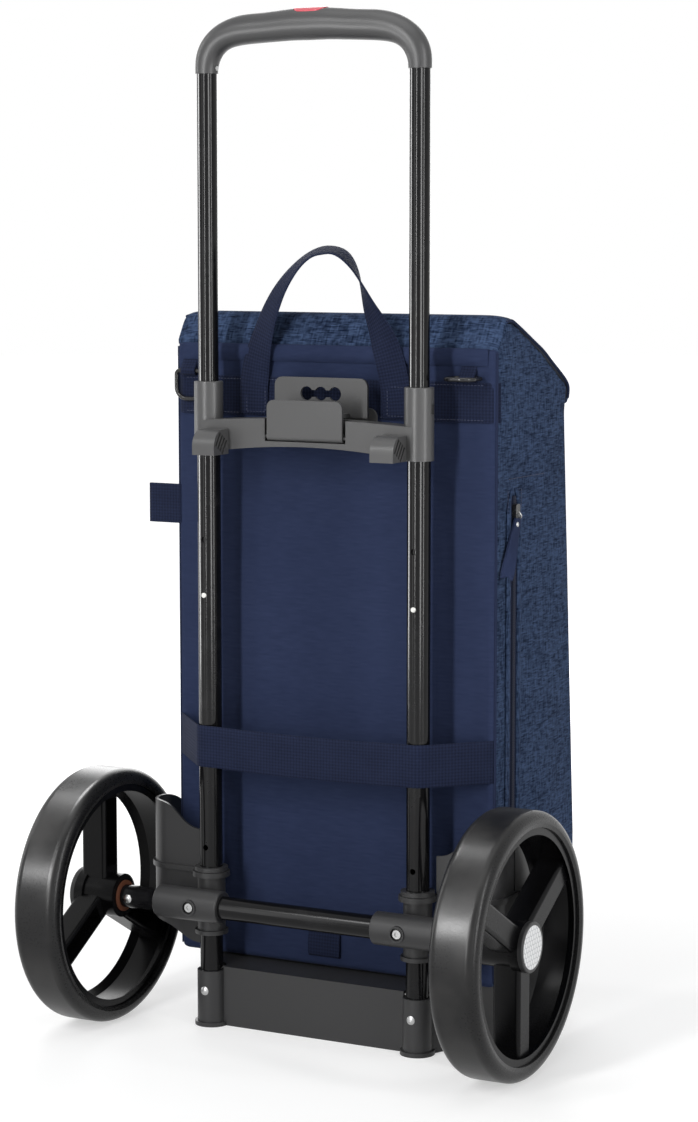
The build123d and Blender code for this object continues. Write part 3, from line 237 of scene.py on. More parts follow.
def in_sight(shade):
    """1 where the camera looks, straight or by way of a reflection, and 0 for light that falls on things."""
    sight = shade.node("LightPath", out="Is Camera Ray")
    for kind in ("Is Glossy Ray", "Is Transmission Ray"):
        other = shade.node("LightPath", out=kind)
        sight = shade.calc("MAXIMUM", sight, other)
    return sight


def round_about(degrees, distance, height):
    """A place round the trolley: 0 degrees is behind it, on the side of the posts, and 90 is to its right."""
    turn = math.radians(degrees)
    return (distance * math.sin(turn), -distance * math.cos(turn), height)


softbox("front_strip", round_about(-7, 2.1, 1.05), (0.18, 1.9), 33)
softbox("left_top", round_about(-31, 1.9, 1.75), (0.30, 0.60), 7)
softbox("right_strip", round_about(74, 2.1, 0.95), (0.22, 1.8), 23)
softbox("right_front_strip", round_about(48, 2.4, 0.95), (0.10, 1.5), 4)
softbox("left_strip", round_about(-84, 2.1, 0.95), (0.14, 1.8), 10)
softbox("overhead", (0.1, -0.5, 2.6), (1.8, 1.8), 17)
softbox("behind", round_about(205, 2.6, 1.3), (1.6, 1.8), 30)
tubes, tyres, grip = [lit_pieces(slot) for slot in ("black_tube", "tyre_rubber", "grip_plastic")]
softbox("left_gleam", round_about(-82, 2.1, 0.9), (0.55, 1.9), 60, tubes)
softbox("right_gleam", round_about(46, 2.3, 0.9), (0.50, 1.9), 50, tubes)
softbox("back_gleam", round_about(-31, 2.1, 0.8), (0.28, 1.8), 5, tubes)
softbox("high_tyre_gleam", (-0.9, 0.48, 2.15), (1.0, 0.5), 60, tyres)
softbox("low_tyre_gleam", (-0.9, -1.95, 1.0), (1.0, 0.35), 62, tyres)
softbox("grip_gleam", round_about(-28, 2.1, 0.25), (1.0, 0.5), 15, grip)

sky = Shade("studio", "worlds", "Background")
scene.world = sky.finish(Color=(1, 1, 1), Strength=SHADE_SKY + in_sight(sky) * (1 - SHADE_SKY))

disc = bmesh.new()
bmesh.ops.create_circle(disc, cap_ends=True, segments=96, radius=FLOOR_RADIUS)
floor_mesh = bpy.data.meshes.new("floor")
disc.to_mesh(floor_mesh)
disc.free()
floor = bpy.data.objects.new("floor", floor_mesh)
scene.collection.objects.link(floor)

paper = Shade("studio_paper")
far = paper.node("VectorMath", {"operation": "LENGTH"}, {0: paper.spot()}, out="Value")
lift = paper.between(far, 0.35, 2.0, 0.48, 1.0)
paper.finish(
    Base_Color=(0.55, 0.55, 0.55),
    Roughness=0.7,
    Emission_Color=paper.mix(in_sight(paper) * lift, (0, 0, 0), (1, 1, 1)),
    Emission_Strength=1.0,
)
floor.data.materials.append(paper.material)

# %% [markdown]
# Most hard pieces are moulded plastic, with a fine even grain, slow changes of gloss and pale scuffs. One
# function gives that finish in any colour. The grain is a small noise in the bump, and a much larger noise
# in the roughness makes the slow changes.


# %% Moulded plastics
def moulded(name, colour, rough, grain=900.0, depth=0.12, worn=0.35, specular=0.45, coat=0.0):
    shade = Shade(name)
    spot = shade.spot()
    fine = shade.noise(spot, grain, 2.0)
    slow = shade.noise(spot, 14.0, 3.0)
    scuff = shade.between(shade.noise(spot, 160.0, 4.0, 0.7), 0.60, 0.78) * shade.between(slow, 0.45, 0.7)
    pale = [min(1.0, 1.5 * c + 0.02) for c in colour]
    deep = [0.86 * c for c in colour]
    base = shade.mix(slow, deep, colour)
    return shade.finish(
        Base_Color=shade.mix(scuff * worn, base, pale),
        Roughness=rough - 0.05 + slow * 0.10 + fine * 0.04,
        Normal=shade.bump(fine, depth, 0.0004),
        Specular_IOR_Level=specular,
        Coat_Weight=coat,
    )


finishes = {
    "dark_plastic": moulded("satin_black_plastic", (0.029, 0.029, 0.030), 0.38, specular=0.32),
    # A paler copy of the black plastic: painted light for the mouldings round the latch, which catch more
    # light.
    "painted_lit_plastic": moulded("satin_plastic_painted_lit", (0.064, 0.064, 0.065), 0.32, depth=0.22, specular=0.46),
    "grip_plastic": moulded("soft_touch_grip", (0.032, 0.032, 0.033), 0.37, 1400.0, 0.07, specular=0.55),
    "wheel_plastic": moulded(
        "wheel_centre_plastic", (0.004, 0.004, 0.0045), 0.24, 1100.0, 0.05, specular=0.12
    ),
    "nylon": moulded("natural_nylon", (0.80, 0.80, 0.77), 0.42, 900.0, 0.05),
    "fibre": moulded("brown_fibre", (0.11, 0.034, 0.014), 0.60, 500.0, 0.25),
    "button_red": moulded("red_button", (0.62, 0.055, 0.085), 0.30, 1600.0, 0.04, 0.1, 0.5, 0.3),
    "board": moulded("fluted_board", (0.030, 0.030, 0.033), 0.55, 300.0, 0.3),
    "ring_black": moulded("gloss_black_ring", (0.010, 0.010, 0.011), 0.18, 1500.0, 0.03, 0.2, 0.4),
}
print("plastics", len(finishes))

# %% [markdown]
# The tubes are steel with a gloss black coat: a faint ripple bends the long highlights, and fine dust dulls
# them in patches. Rivets, screws and springs are bare steel with a brushed sheen. The zip's slider has
# black lacquer over the metal.

# %% Metals
tube = Shade("gloss_black_coat")
spot = tube.spot()
peel = tube.noise(spot, 240.0, 2.0)
dust = tube.noise(spot, 26.0, 4.0, 0.65)
finishes["black_tube"] = tube.finish(
    Base_Color=tube.mix(tube.between(dust, 0.5, 0.8), (0.004, 0.004, 0.0045), (0.010, 0.010, 0.011)),
    Roughness=0.13 + tube.between(dust, 0.42, 0.75) * 0.05,
    Normal=tube.bump(peel, 0.006, 0.0005),
    Specular_IOR_Level=0.18,
)

steel = Shade("bright_zinc")
spot = steel.spot((1, 1, 6))
brush = steel.noise(spot, 420.0, 3.0)
spangle = steel.noise(steel.spot(), 90.0, 2.0)
finishes["steel"] = steel.finish(
    Base_Color=steel.mix(spangle, (0.36, 0.365, 0.37), (0.48, 0.48, 0.475)),
    Metallic=1.0,
    Roughness=0.26 + brush * 0.16,
    Normal=steel.bump(brush, 0.08, 0.0003),
)

lacquer = Shade("black_lacquer")
nick = lacquer.between(lacquer.noise(lacquer.spot(), 700.0, 3.0), 0.62, 0.70)
finishes["zip_metal"] = lacquer.finish(
    Base_Color=lacquer.mix(nick, (0.02, 0.02, 0.022), (0.45, 0.45, 0.45)),
    Metallic=nick * 0.6 + 0.35,
    Roughness=0.30 - nick * 0.05,
)
print("metals ready")

# %% [markdown]
# A tyre is black rubber with a soft gloss. Its tread picks up dust that dulls it, and its sides have fine
# rings left by the mould. Both depend on the distance from the axle, and both wheels turn about one line,
# so one material serves both. The reflector is a white lens pressed into six-sided cells. Each cell is
# found with two offset rectangular grids: the nearer centre wins.

# %% Tyres and reflectors
AXLE_Y, AXLE_Z = -28 * MM, 123 * MM
TYRE_RADIUS, DUST_DEPTH = 123 * MM, 3 * MM
RINGS_PER_METRE = 900.0
rubber = Shade("tyre_rubber")
spot = rubber.spot()
_, y, z = rubber.axes(spot)
radius = ((y - AXLE_Y) * (y - AXLE_Y) + (z - AXLE_Z) * (z - AXLE_Z)) ** 0.5
crumb = rubber.noise(spot, 520.0, 3.0, 0.6)
patch = rubber.noise(spot, 22.0, 3.0)
dusty = rubber.between(radius, TYRE_RADIUS - DUST_DEPTH, TYRE_RADIUS) * rubber.between(patch, 0.35, 0.75)
rings = abs((radius * RINGS_PER_METRE) % 2.0 - 1.0)
clean = rubber.mix(patch, (0.007, 0.007, 0.0073), (0.012, 0.012, 0.0125))
finishes["tyre_rubber"] = rubber.finish(
    Base_Color=rubber.mix(dusty * 0.55, clean, (0.034, 0.033, 0.032)),
    Roughness=0.24 + crumb * 0.08 + dusty * 0.12,
    Normal=rubber.bump(crumb + rings * 0.12, 0.10, 0.0005),
    Specular_IOR_Level=0.22,
)

lens = Shade("white_reflector")
_, y, z = lens.axes(lens.spot())
CELL = 5.2 * MM
ROW = CELL * math.sqrt(3)
across, upward = y - AXLE_Y, z - AXLE_Z


def cell_offsets(shift):
    """Offsets from the nearest centre of one rectangular grid of cell centres."""
    return (
        (across + CELL * shift) % CELL - CELL / 2,
        (upward + ROW * shift) % ROW - ROW / 2,
    )


first, second = cell_offsets(0.0), cell_offsets(0.5)
nearer = (first[0] * first[0] + first[1] * first[1]) > (second[0] * second[0] + second[1] * second[1])
off_y = first[0] + nearer * (second[0] - first[0])
off_z = first[1] + nearer * (second[1] - first[1])
slanted = abs(off_y) * 0.5 + abs(off_z) * (math.sqrt(3) / 2)
edge = lens.calc("MAXIMUM", abs(off_y), slanted) / (CELL / 2)
# The six-sided cells are the lens's real pattern; the walls are grooves in the bump, and their grey is
# painted shade.
wall = lens.between(edge, 0.74, 0.92)
finishes["reflector_white"] = lens.finish(
    Base_Color=lens.mix(wall, (0.86, 0.87, 0.88), (0.42, 0.43, 0.45)),
    Roughness=0.14 + wall * 0.3,
    Normal=lens.bump(1 - edge, 0.5, 0.0008),
    Coat_Weight=0.6,
)
print("tyre and reflector ready")

# %% [markdown]
# Three cloths make the bag. The sides, the front and the lid are a heathered weave: yarns of two blues lie
# in rows, and each row changes colour along its length. The back is a plain navy weave, and the straps are
# ribbed webbing. All three read a flat map in metres that every cloth piece carries, so the yarns follow
# the cloth round its bends.


# %% Cloths
def rows_of_yarn(shade, spot, pitch, run):
    """A value that changes along each row of yarn and jumps from row to row."""
    along, up, _ = shade.axes(spot)
    row = shade.calc("FLOOR", up / pitch)
    return shade.noise(shade.vector(along / run, row * 7.31), 1.0, 1.0, 0.5)


def weave_height(shade, spot, pitch):
    """Over-and-under bumps of a plain weave."""
    along, up, _ = shade.axes(spot)
    warp = (along * (math.tau / pitch)).alone("SINE")
    weft = (up * (math.tau / pitch)).alone("SINE")
    return warp * weft * 0.5 + 0.5


heather = Shade("heathered_blue_cloth")
flat = heather.spot(uv=True)
coarse = rows_of_yarn(heather, flat, 1.3 * MM, 12.0 * MM)
finer = rows_of_yarn(heather, flat, 0.8 * MM, 5.0 * MM)
turned_x, turned_y, _ = heather.axes(flat)
upright = rows_of_yarn(heather, heather.vector(turned_y, turned_x), 1.7 * MM, 11.0 * MM)
faded = heather.noise(flat, 9.0, 2.0)
tone = heather.between(coarse * 0.46 + finer * 0.20 + upright * 0.34 + (faded - 0.5) * 0.08, 0.32, 0.68)
ribbed = weave_height(heather, flat, 1.4 * MM)
finishes["heather_fabric"] = heather.finish(
    Base_Color=heather.mix(tone, (0.0054, 0.0104, 0.0275), (0.054, 0.086, 0.167)),
    Roughness=0.88 - tone * 0.10,
    Normal=heather.bump(ribbed * 0.6 + finer * 0.4, 0.45, 0.0006),
    Specular_IOR_Level=0.04,
    Sheen_Weight=0.02,
    Sheen_Roughness=0.5,
)

plain = Shade("plain_navy_cloth")
flat = plain.spot(uv=True)
thread_tone = rows_of_yarn(plain, flat, 1.8 * MM, 16.0 * MM)
faded = plain.noise(flat, 7.0, 3.0)
ribbed = weave_height(plain, flat, 1.2 * MM)
finishes["navy_fabric"] = plain.finish(
    Base_Color=plain.mix(thread_tone * 0.55 + faded * 0.45, (0.0134, 0.0200, 0.050), (0.0305, 0.0420, 0.091)),
    Roughness=0.80 - thread_tone * 0.08,
    Normal=plain.bump(ribbed, 0.30, 0.0004),
    Specular_IOR_Level=0.04,
    Sheen_Weight=0.03,
    Sheen_Roughness=0.45,
)

webbing = Shade("ribbed_navy_webbing")
flat = webbing.spot(uv=True)
along, up, _ = webbing.axes(flat)
rib = abs((along / (1.6 * MM)) % 2.0 - 1.0)
cord_row = abs((up / (1.5 * MM)) % 2.0 - 1.0)
# The ribs are the webbing's real pattern, but the colour follows their height: the grooves are painted shade.
ribs_and_groove_shade = rib * 0.55 + cord_row * 0.45
worn = webbing.noise(flat, 40.0, 3.0)
finishes["navy_webbing"] = webbing.finish(
    Base_Color=webbing.mix(ribs_and_groove_shade * 0.7 + worn * 0.3, (0.0039, 0.0055, 0.0146), (0.0196, 0.0266, 0.0595)),
    Roughness=0.66 + ribs_and_groove_shade * 0.12,
    Normal=webbing.bump(ribs_and_groove_shade, 0.55, 0.0007),
    Specular_IOR_Level=0.05,
    Sheen_Weight=0.02,
)

lining = Shade("bag_lining")
flat = lining.spot(uv=True)
# Slow blotches of darker and lighter navy: painted shade standing in for creases.
crease_shade = lining.noise(flat, 30.0, 4.0)
finishes["lining"] = lining.finish(
    Base_Color=lining.mix(crease_shade, (0.020, 0.024, 0.036), (0.034, 0.040, 0.055)),
    Roughness=0.7,
    Normal=lining.bump(weave_height(lining, flat, 1.0 * MM), 0.25, 0.0003),
)

thread = Shade("navy_thread")
twist = thread.noise(thread.spot(), 1500.0, 2.0)
finishes["thread"] = thread.finish(
    Base_Color=thread.mix(twist, (0.014, 0.019, 0.048), (0.036, 0.046, 0.098)),
    Roughness=0.6,
    Normal=thread.bump(twist, 0.4, 0.0002),
)

coil = Shade("zip_coil")
spot = coil.spot()
finishes["coil"] = coil.finish(
    Base_Color=coil.mix(coil.noise(spot, 300.0), (0.004, 0.006, 0.015), (0.009, 0.012, 0.028)),
    Roughness=0.55,
    Specular_IOR_Level=0.12,
)
print("finishes", len(finishes))

# %% [markdown]
# Each CAD node carries the name of a finish in the imported record, so one loop dresses them all. The
# mouldings round the latch get a paler copy of the same plastic: painted light, for the light they catch.

# %% Dress the CAD nodes
own_finish = {
    "bridge": "painted_lit_plastic",
    "rest_lugs": "painted_lit_plastic",
    "latch_lever": "painted_lit_plastic",
    "hanger": "painted_lit_plastic",
    "latch_pin": "dark_plastic",
}
for part in frame["record"]["subparts"]:
    node = frame["nodes"][part["node"]]
    node.data.materials.clear()
    node.data.materials.append(finishes[own_finish.get(part["node"], part["material_slot"])])

# %% [markdown]
# The bag is sewn from five panels that stand on the base. Flat walls would look like board, so they are cut
# into a fine grid and then simulated as cloth. The solid is an extruded outline with bevelled corners,
# which are the soft edges of the real bag.

# %% Bag outline
BAG_HALF = 170 * MM
BACK_Y = 40 * MM
FLOOR_Z, BACK_TOP_Z = 58.6 * MM, 656.5 * MM
BELLY_Y, BELLY_Z = 229 * MM, 176 * MM
LEAN_Y, LEAN_Z = 198.8 * MM, 590 * MM
FRONT_TOP_Y, FRONT_TOP_Z = 203.2 * MM, 612.5 * MM
RIDGE_Y, RIDGE_FRONT_Y, RIDGE_Z = 58 * MM, 74 * MM, 686 * MM
RIM_BACK_Y, RIM_TOP_Z = 62 * MM, 681 * MM
NOSE_Y, NOSE_TOP_Z = 208 * MM, 617 * MM
SLOPE_Y = 140 * MM
GRID, MERGE = 11.5 * MM, 0.4 * MM
front_table = [(FLOOR_Z, BELLY_Y), (BELLY_Z, BELLY_Y), (LEAN_Z, LEAN_Y), (FRONT_TOP_Z, FRONT_TOP_Y)]
rim_table = [
    (BACK_Y, BACK_TOP_Z), (RIM_BACK_Y, RIM_TOP_Z), (RIDGE_FRONT_Y, RIM_TOP_Z),
    (NOSE_Y, RIM_TOP_Z - RIDGE_Z + NOSE_TOP_Z),
]


def lookup(table, place):
    """A value from a table of (place, value) pairs, along straight lines that run on past both ends."""
    index = 0
    while index < len(table) - 2 and place > table[index + 1][0]:
        index += 1
    (low, first), (high, second) = table[index : index + 2]
    return first + (second - first) * (place - low) / (high - low)


def piece_from(bm, name, *materials):
    """Turns a bmesh into a smooth-shaded object with materials."""
    mesh = bpy.data.meshes.new(name)
    bm.to_mesh(mesh)
    bm.free()
    mesh.shade_smooth()
    for material in materials:
        mesh.materials.append(material)
    made = bpy.data.objects.new(name, mesh)
    scene.collection.objects.link(made)
    return made


def belongs(piece, body, slot, *replaced):
    """Says which body a piece moves with and which CAD nodes it stands for, and hides those. The slot is not
    used.
    """
    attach(piece, body)
    if replaced:
        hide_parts(*replaced)


def modify(piece, kind, **settings):
    """Adds a modifier with its settings."""
    made = piece.modifiers.new(kind.lower(), kind)
    for key, value in settings.items():
        setattr(made, key, value)
    return made


def map_cloth(bm, place):
    """Gives every corner of every face its place on the flat cloth, in metres."""
    uv = bm.loops.layers.uv.new("cloth")
    for face in bm.faces:
        for loop in face.loops:
            loop[uv].uv = place(loop.vert.co, face.normal)


def points_in(geom):
    return [part for part in geom if isinstance(part, bmesh.types.BMVert)]


def soften(bm, edges, width):
    """Bevels edges round."""
    bmesh.ops.bevel(
        bm, geom=edges, offset=width, offset_type="OFFSET", affect="EDGES", segments=4, profile=0.5,
        material=-1, clamp_overlap=True,
    )


def thicken(piece, thickness):
    """Gives cloth its thickness and its lining, and smooths it."""
    modify(piece, "SOLIDIFY", thickness=thickness, offset=-1, material_offset=2)
    modify(piece, "SUBSURF", levels=1, render_levels=1)


def slice_up(bm, axis, start, end, step):
    """Cuts a mesh with evenly spaced planes along one axis."""
    normal = [0, 0, 0]
    normal[axis] = 1
    count = max(1, round((end - start) / step))
    for index in range(1, count):
        place = [0, 0, 0]
        place[axis] = start + (end - start) * index / count
        geom = bm.verts[:] + bm.edges[:] + bm.faces[:]
        bmesh.ops.bisect_plane(bm, geom=geom, dist=1e-6, plane_co=place, plane_no=normal)


outline = [
    (BACK_Y, FLOOR_Z),
    (BELLY_Y, FLOOR_Z),
    (BELLY_Y, BELLY_Z),
    (LEAN_Y, LEAN_Z),
    (FRONT_TOP_Y, FRONT_TOP_Z),
    (SLOPE_Y, 649.4 * MM),
    (RIDGE_FRONT_Y, 681.6 * MM),
    (RIM_BACK_Y, 681.6 * MM),
    (BACK_Y, BACK_TOP_Z),
]
bag = bmesh.new()
side = bag.faces.new([bag.verts.new((-BAG_HALF, y, z)) for y, z in outline])
grown = bmesh.ops.extrude_face_region(bag, geom=[side])["geom"]
bmesh.ops.translate(bag, vec=(2 * BAG_HALF, 0, 0), verts=points_in(grown))
bmesh.ops.recalc_face_normals(bag, faces=bag.faces[:])
mouth = [f for f in bag.faces if f.normal.z > 0.2]
bmesh.ops.delete(bag, geom=mouth, context="FACES")
corners = [e for e in bag.edges if len(e.link_faces) == 2 and e.calc_face_angle() > 0.5]
soften(bag, corners, 6.5 * MM)
slice_up(bag, 0, -BAG_HALF, BAG_HALF, GRID)
slice_up(bag, 1, BACK_Y, BELLY_Y, GRID)
slice_up(bag, 2, FLOOR_Z, RIDGE_Z, GRID)
bmesh.ops.remove_doubles(bag, verts=bag.verts[:], dist=MERGE)

HEATHER, NAVY, DOWNWARD = 0, 1, -0.7


def on_panel(p, normal):
    """Where a point lies on its panel of cloth, seen straight on."""
    if normal.z < DOWNWARD:
        return p.x, p.y
    return (p.y, p.z) if abs(normal.x) > abs(normal.y) else (p.x, p.z)


for face in bag.faces:
    plain_face = face.calc_center_median().y < BACK_Y + 3 * MM or face.normal.z < DOWNWARD
    face.material_index = NAVY if plain_face else HEATHER
map_cloth(bag, on_panel)
cloths = [finishes[name] for name in ("heather_fabric", "navy_fabric", "lining", "lining")]
bag_body = piece_from(bag, "bag_body", *cloths)
print("bag grid", len(bag_body.data.vertices), "points")

# %% [markdown]
# The solver needs to know what is sewn fast. A point near a seam or a hem, under the back band or beside
# the zip gets a full pin weight, and all others none. A light pressure pushes the rest out, as the shopping
# does, and its weight pulls it down. No point may move further than a cap, because a solver left alone can
# blow a bag up like a balloon. Then a small noise gives the uneven look of worn cloth, and two soft folds
# mark where the strap pulls the back in.


# %% Simulate the bag
STIFF_CLOTH = {
    "vertex_group_mass": "sewn", "quality": 5, "mass": 0.3, "tension_stiffness": 25,
    "compression_stiffness": 25, "shear_stiffness": 12, "bending_stiffness": 3, "use_pressure": True,
}


def drape(piece, held, frames, pressure, weight, cap):
    """Runs Blender's cloth on a piece, holding some of its points, and limits how far each point moves."""
    group = piece.vertex_groups.new(name="sewn")
    group.add([v.index for v in piece.data.vertices if held(v.co)], 1.0, "REPLACE")
    rest = [v.co.copy() for v in piece.data.vertices]
    cloth = modify(piece, "CLOTH")
    for key, value in STIFF_CLOTH.items():
        setattr(cloth.settings, key, value)
    cloth.settings.uniform_pressure_force = pressure
    cloth.settings.effector_weights.gravity = weight
    for number in range(1, frames + 1):
        scene.frame_set(number)
    shaped = piece.evaluated_get(bpy.context.evaluated_depsgraph_get())
    moves = [new.co - old for new, old in zip(shaped.data.vertices, rest)]
    furthest = max(move.length for move in moves)
    piece.modifiers.remove(cloth)
    piece.vertex_groups.remove(group)
    scene.frame_set(1)
    for vertex, old, move in zip(piece.data.vertices, rest, moves):
        reach = move.length
        vertex.co = old + move * (cap * math.tanh(reach / cap) / reach if reach > 0 else 0)
    return furthest


SEAM, HEM, BAND_FOOT_Z = 11 * MM, 12 * MM, 560 * MM
POCKET_BACK, POCKET_FRONT, POCKET_LOW, POCKET_HIGH = 58 * MM, 96 * MM, 190 * MM, 535 * MM
LOW_TAB_X, TAB_REACH, TAB_TOP_Z = -8 * MM, 30 * MM, 115 * MM
SAG_X, SAG_REACH, SAG = 152 * MM, 18 * MM, 3.2 * MM
ROLL_LOW, ROLL_HIGH, ROLL = 626 * MM, 656 * MM, 1.8 * MM
FOLDS_X, FOLDS_Z = (-150 * MM, 151 * MM), 290 * MM
FOLD_WIDTH, FOLD_HEIGHT, FOLD = 7 * MM, 90 * MM, 5.0 * MM


def sewn_fast(p):
    """Whether a point of the bag is held by a seam or by something sewn on."""
    near_back, near_front = p.y < BACK_Y + SEAM, p.y > lookup(front_table, p.z) - SEAM
    near_side = abs(p.x) > BAG_HALF - SEAM
    upright_seam = near_side and (near_back or near_front)
    hem = p.z < FLOOR_Z + HEM or p.z > lookup(rim_table, p.y) - HEM
    under_band = near_back and p.z > BAND_FOOT_Z
    at_zip = p.x > BAG_HALF - 5 * MM and POCKET_BACK < p.y < POCKET_FRONT and POCKET_LOW < p.z < POCKET_HIGH
    low_tab = near_back and abs(p.x - LOW_TAB_X) < TAB_REACH and p.z < TAB_TOP_Z
    return upright_seam or hem or under_band or at_zip or low_tab


furthest = drape(bag_body, sewn_fast, frames=18, pressure=1.2, weight=0.4, cap=5 * MM)
print("bag bulge before the cap", round(furthest / MM, 1), "mm")


def droop(p):
    """How far the top corners of the bag and its lid hang below the ridge."""
    reach = max(0.0, (abs(p.x) - SAG_X) / SAG_REACH)
    fade = min(1.0, max(0.25, 1.75 - p.y / (90 * MM)))
    height = min(1.0, max(0.0, (p.z - 600 * MM) / (60 * MM)))
    return SAG * min(1.0, reach) ** 2.2 * fade * height


for vertex in bag_body.data.vertices:
    p = vertex.co
    vertex.co.z -= droop(p)
    if p.y < BACK_Y + 3 * MM and ROLL_LOW < p.z < ROLL_HIGH:
        vertex.co.y -= ROLL * math.sin(math.pi * (p.z - ROLL_LOW) / (ROLL_HIGH - ROLL_LOW))
    slack = 0.0 if sewn_fast(p) else 1.0
    ripple = field.noise(Vector((p.x * 14, p.y * 14, p.z * 9))) * 1.3 * MM
    ripple += field.noise(Vector((p.x * 40, p.y * 40, p.z * 22))) * 0.4 * MM
    if p.y < BACK_Y + 6 * MM:
        for fold_x in FOLDS_X:
            beside = math.exp(-(((p.x - fold_x) / FOLD_WIDTH) ** 2))
            height = math.exp(-(((p.z - FOLDS_Z) / FOLD_HEIGHT) ** 2))
            vertex.co.y += FOLD * beside * height
        vertex.co.y += slack * ripple
    elif abs(p.x) > BAG_HALF - 8 * MM:
        vertex.co.x += slack * ripple * math.copysign(1, p.x)
    else:
        vertex.co.y += slack * ripple

thicken(bag_body, 2.6 * MM)
panels = ("bag_back", "bag_front", "bag_left_side", "bag_right_side", "bag_floor")
belongs(bag_body, "bag", "heather_fabric", *panels)
skin = BVHTree.FromObject(bag_body, bpy.context.evaluated_depsgraph_get())


def on_bag(start, towards):
    """The point where a line from outside first meets the bag."""
    return skin.ray_cast(Vector(start), Vector(towards).normalized())[0]


print("bag back at mid height", round(on_bag((0, 0, 0.35), (0, 1, 0)).y / MM, 1), "mm from the posts")

# %% [markdown]
# The lid is one length of heathered cloth. It rises from the back seam to a ridge, falls towards the front
# and turns down over a short nose. Its outline is a row of edges drawn out sideways, with round bends and a
# foot tucked in behind the back panel. A short simulation lets the slope sag between its stiff edges.

# %% Lid
LID_HALF = BAG_HALF + 1.8 * MM
NOSE_FOOT_Y, NOSE_FOOT_Z = 205.6 * MM, 596 * MM
TUCK, TUCK_Y, TUCK_RUN = 3.5 * MM, 188 * MM, 16 * MM
RISE_RUN, SLOPE_RUN, SLOPE_STRETCH = 34.5 * MM, 199.5 * MM, 1.1
lid_line = [
    (BACK_Y + 0.2 * MM, BACK_TOP_Z + 0.6 * MM),
    (RIDGE_Y, RIDGE_Z),
    (RIDGE_FRONT_Y, RIDGE_Z),
    (SLOPE_Y, 654 * MM),
    (NOSE_Y, NOSE_TOP_Z),
    (NOSE_FOOT_Y, NOSE_FOOT_Z),
]
lid = bmesh.new()
row = [lid.verts.new((-LID_HALF, y, z)) for y, z in lid_line]
rail = [lid.edges.new(pair) for pair in zip(row, row[1:])]
drawn = bmesh.ops.extrude_edge_only(lid, edges=rail)["geom"]
bmesh.ops.translate(lid, vec=(2 * LID_HALF, 0, 0), verts=points_in(drawn))
soften(lid, [e for e in lid.edges if len(e.link_faces) == 2], 8 * MM)
slice_up(lid, 0, -LID_HALF, LID_HALF, GRID)
slice_up(lid, 1, RIDGE_FRONT_Y, NOSE_Y, GRID)
slice_up(lid, 2, BACK_TOP_Z, RIDGE_Z, 9 * MM)
rims = [e for e in lid.edges if len(e.link_faces) == 1]
foot = [e for e in rims if all(v.co.y < BACK_Y + 0.5 * MM for v in e.verts)]
tucked = bmesh.ops.extrude_edge_only(lid, edges=foot)["geom"]
for vertex in points_in(tucked):
    vertex.co = (vertex.co.x * (BAG_HALF - 7 * MM) / LID_HALF, BACK_Y + 2.2 * MM, BACK_TOP_Z - 6 * MM)
bmesh.ops.remove_doubles(lid, verts=lid.verts[:], dist=MERGE)
bmesh.ops.recalc_face_normals(lid, faces=lid.faces[:])
if sum(f.normal.z for f in lid.faces) < 0:
    bmesh.ops.reverse_faces(lid, faces=lid.faces[:])


def lid_run(p):
    """How far along the cloth a point of the lid lies from the back seam."""
    if p.y < RIDGE_Y:
        return math.hypot(p.y - lid_line[0][0], p.z - lid_line[0][1])
    if p.y < NOSE_Y - 1 * MM:
        return RISE_RUN + (p.y - RIDGE_Y) * SLOPE_STRETCH
    return SLOPE_RUN + (NOSE_TOP_Z - p.z)


map_cloth(lid, lambda p, normal: (p.x, lid_run(p)))
cloths = [finishes[name] for name in ("heather_fabric", "navy_webbing", "lining")]
lid_flap = piece_from(lid, "lid_flap", *cloths)


def lid_edge(p):
    """Whether a point of the lid is at a stiff edge."""
    return abs(p.x) > BAG_HALF - 9 * MM or p.y < RIDGE_FRONT_Y + 4 * MM or p.y > NOSE_FOOT_Y - 6 * MM


furthest = drape(lid_flap, lid_edge, frames=14, pressure=-0.3, weight=1.0, cap=3.2 * MM)
print("lid sag before the cap", round(furthest / MM, 1), "mm")
for vertex in lid_flap.data.vertices:
    p = vertex.co
    vertex.co.z -= droop(p)
    if abs(p.x) > LID_HALF - 1 * MM:
        vertex.co.y -= TUCK * min(1.0, max(0.0, (p.y - TUCK_Y) / TUCK_RUN))
    if not lid_edge(p):
        vertex.co.z += field.noise(Vector((p.x * 16, p.y * 16, 3.0))) * 0.9 * MM
thicken(lid_flap, 3.6 * MM)
print("lid", len(lid_flap.data.vertices), "points")

# %% [markdown]
# Dark piping covers the raw edges of the lid. It is a round cord along a smooth NURBS line with few points,
# turned into a mesh and added to the lid's own.


# %% Piping on the lid
def in_mm(points):
    return [Vector(point) * MM for point in points]


def nurbs_mesh(points, resolution, thickness=0.0, sides=0):
    """A mesh of a smooth line through a few control points: a bare line, or a round cord."""
    line = bpy.data.curves.new("line", "CURVE")
    line.dimensions = "3D"
    line.resolution_u = resolution
    line.bevel_depth = thickness / 2
    line.bevel_resolution = sides
    line.use_fill_caps = True
    spline = line.splines.new("NURBS")
    spline.points.add(len(points) - 1)
    for target, point in zip(spline.points, points):
        target.co = (*point, 1)
    spline.order_u = 3
    spline.use_endpoint_u = True
    holder = bpy.data.objects.new("line", line)
    mesh = bpy.data.meshes.new_from_object(holder)
    bpy.data.objects.remove(holder)
    bpy.data.curves.remove(line)
    return mesh


def spline_points(points, resolution):
    mesh = nurbs_mesh(points, resolution)
    found = [v.co.copy() for v in mesh.vertices]
    bpy.data.meshes.remove(mesh)
    return found


def baked(piece):
    """A bmesh of a piece with its modifiers applied."""
    shaped = piece.evaluated_get(bpy.context.evaluated_depsgraph_get())
    mesh = bpy.data.meshes.new_from_object(shaped)
    bm = bmesh.new()
    bm.from_mesh(mesh)
    bpy.data.meshes.remove(mesh)
    return bm


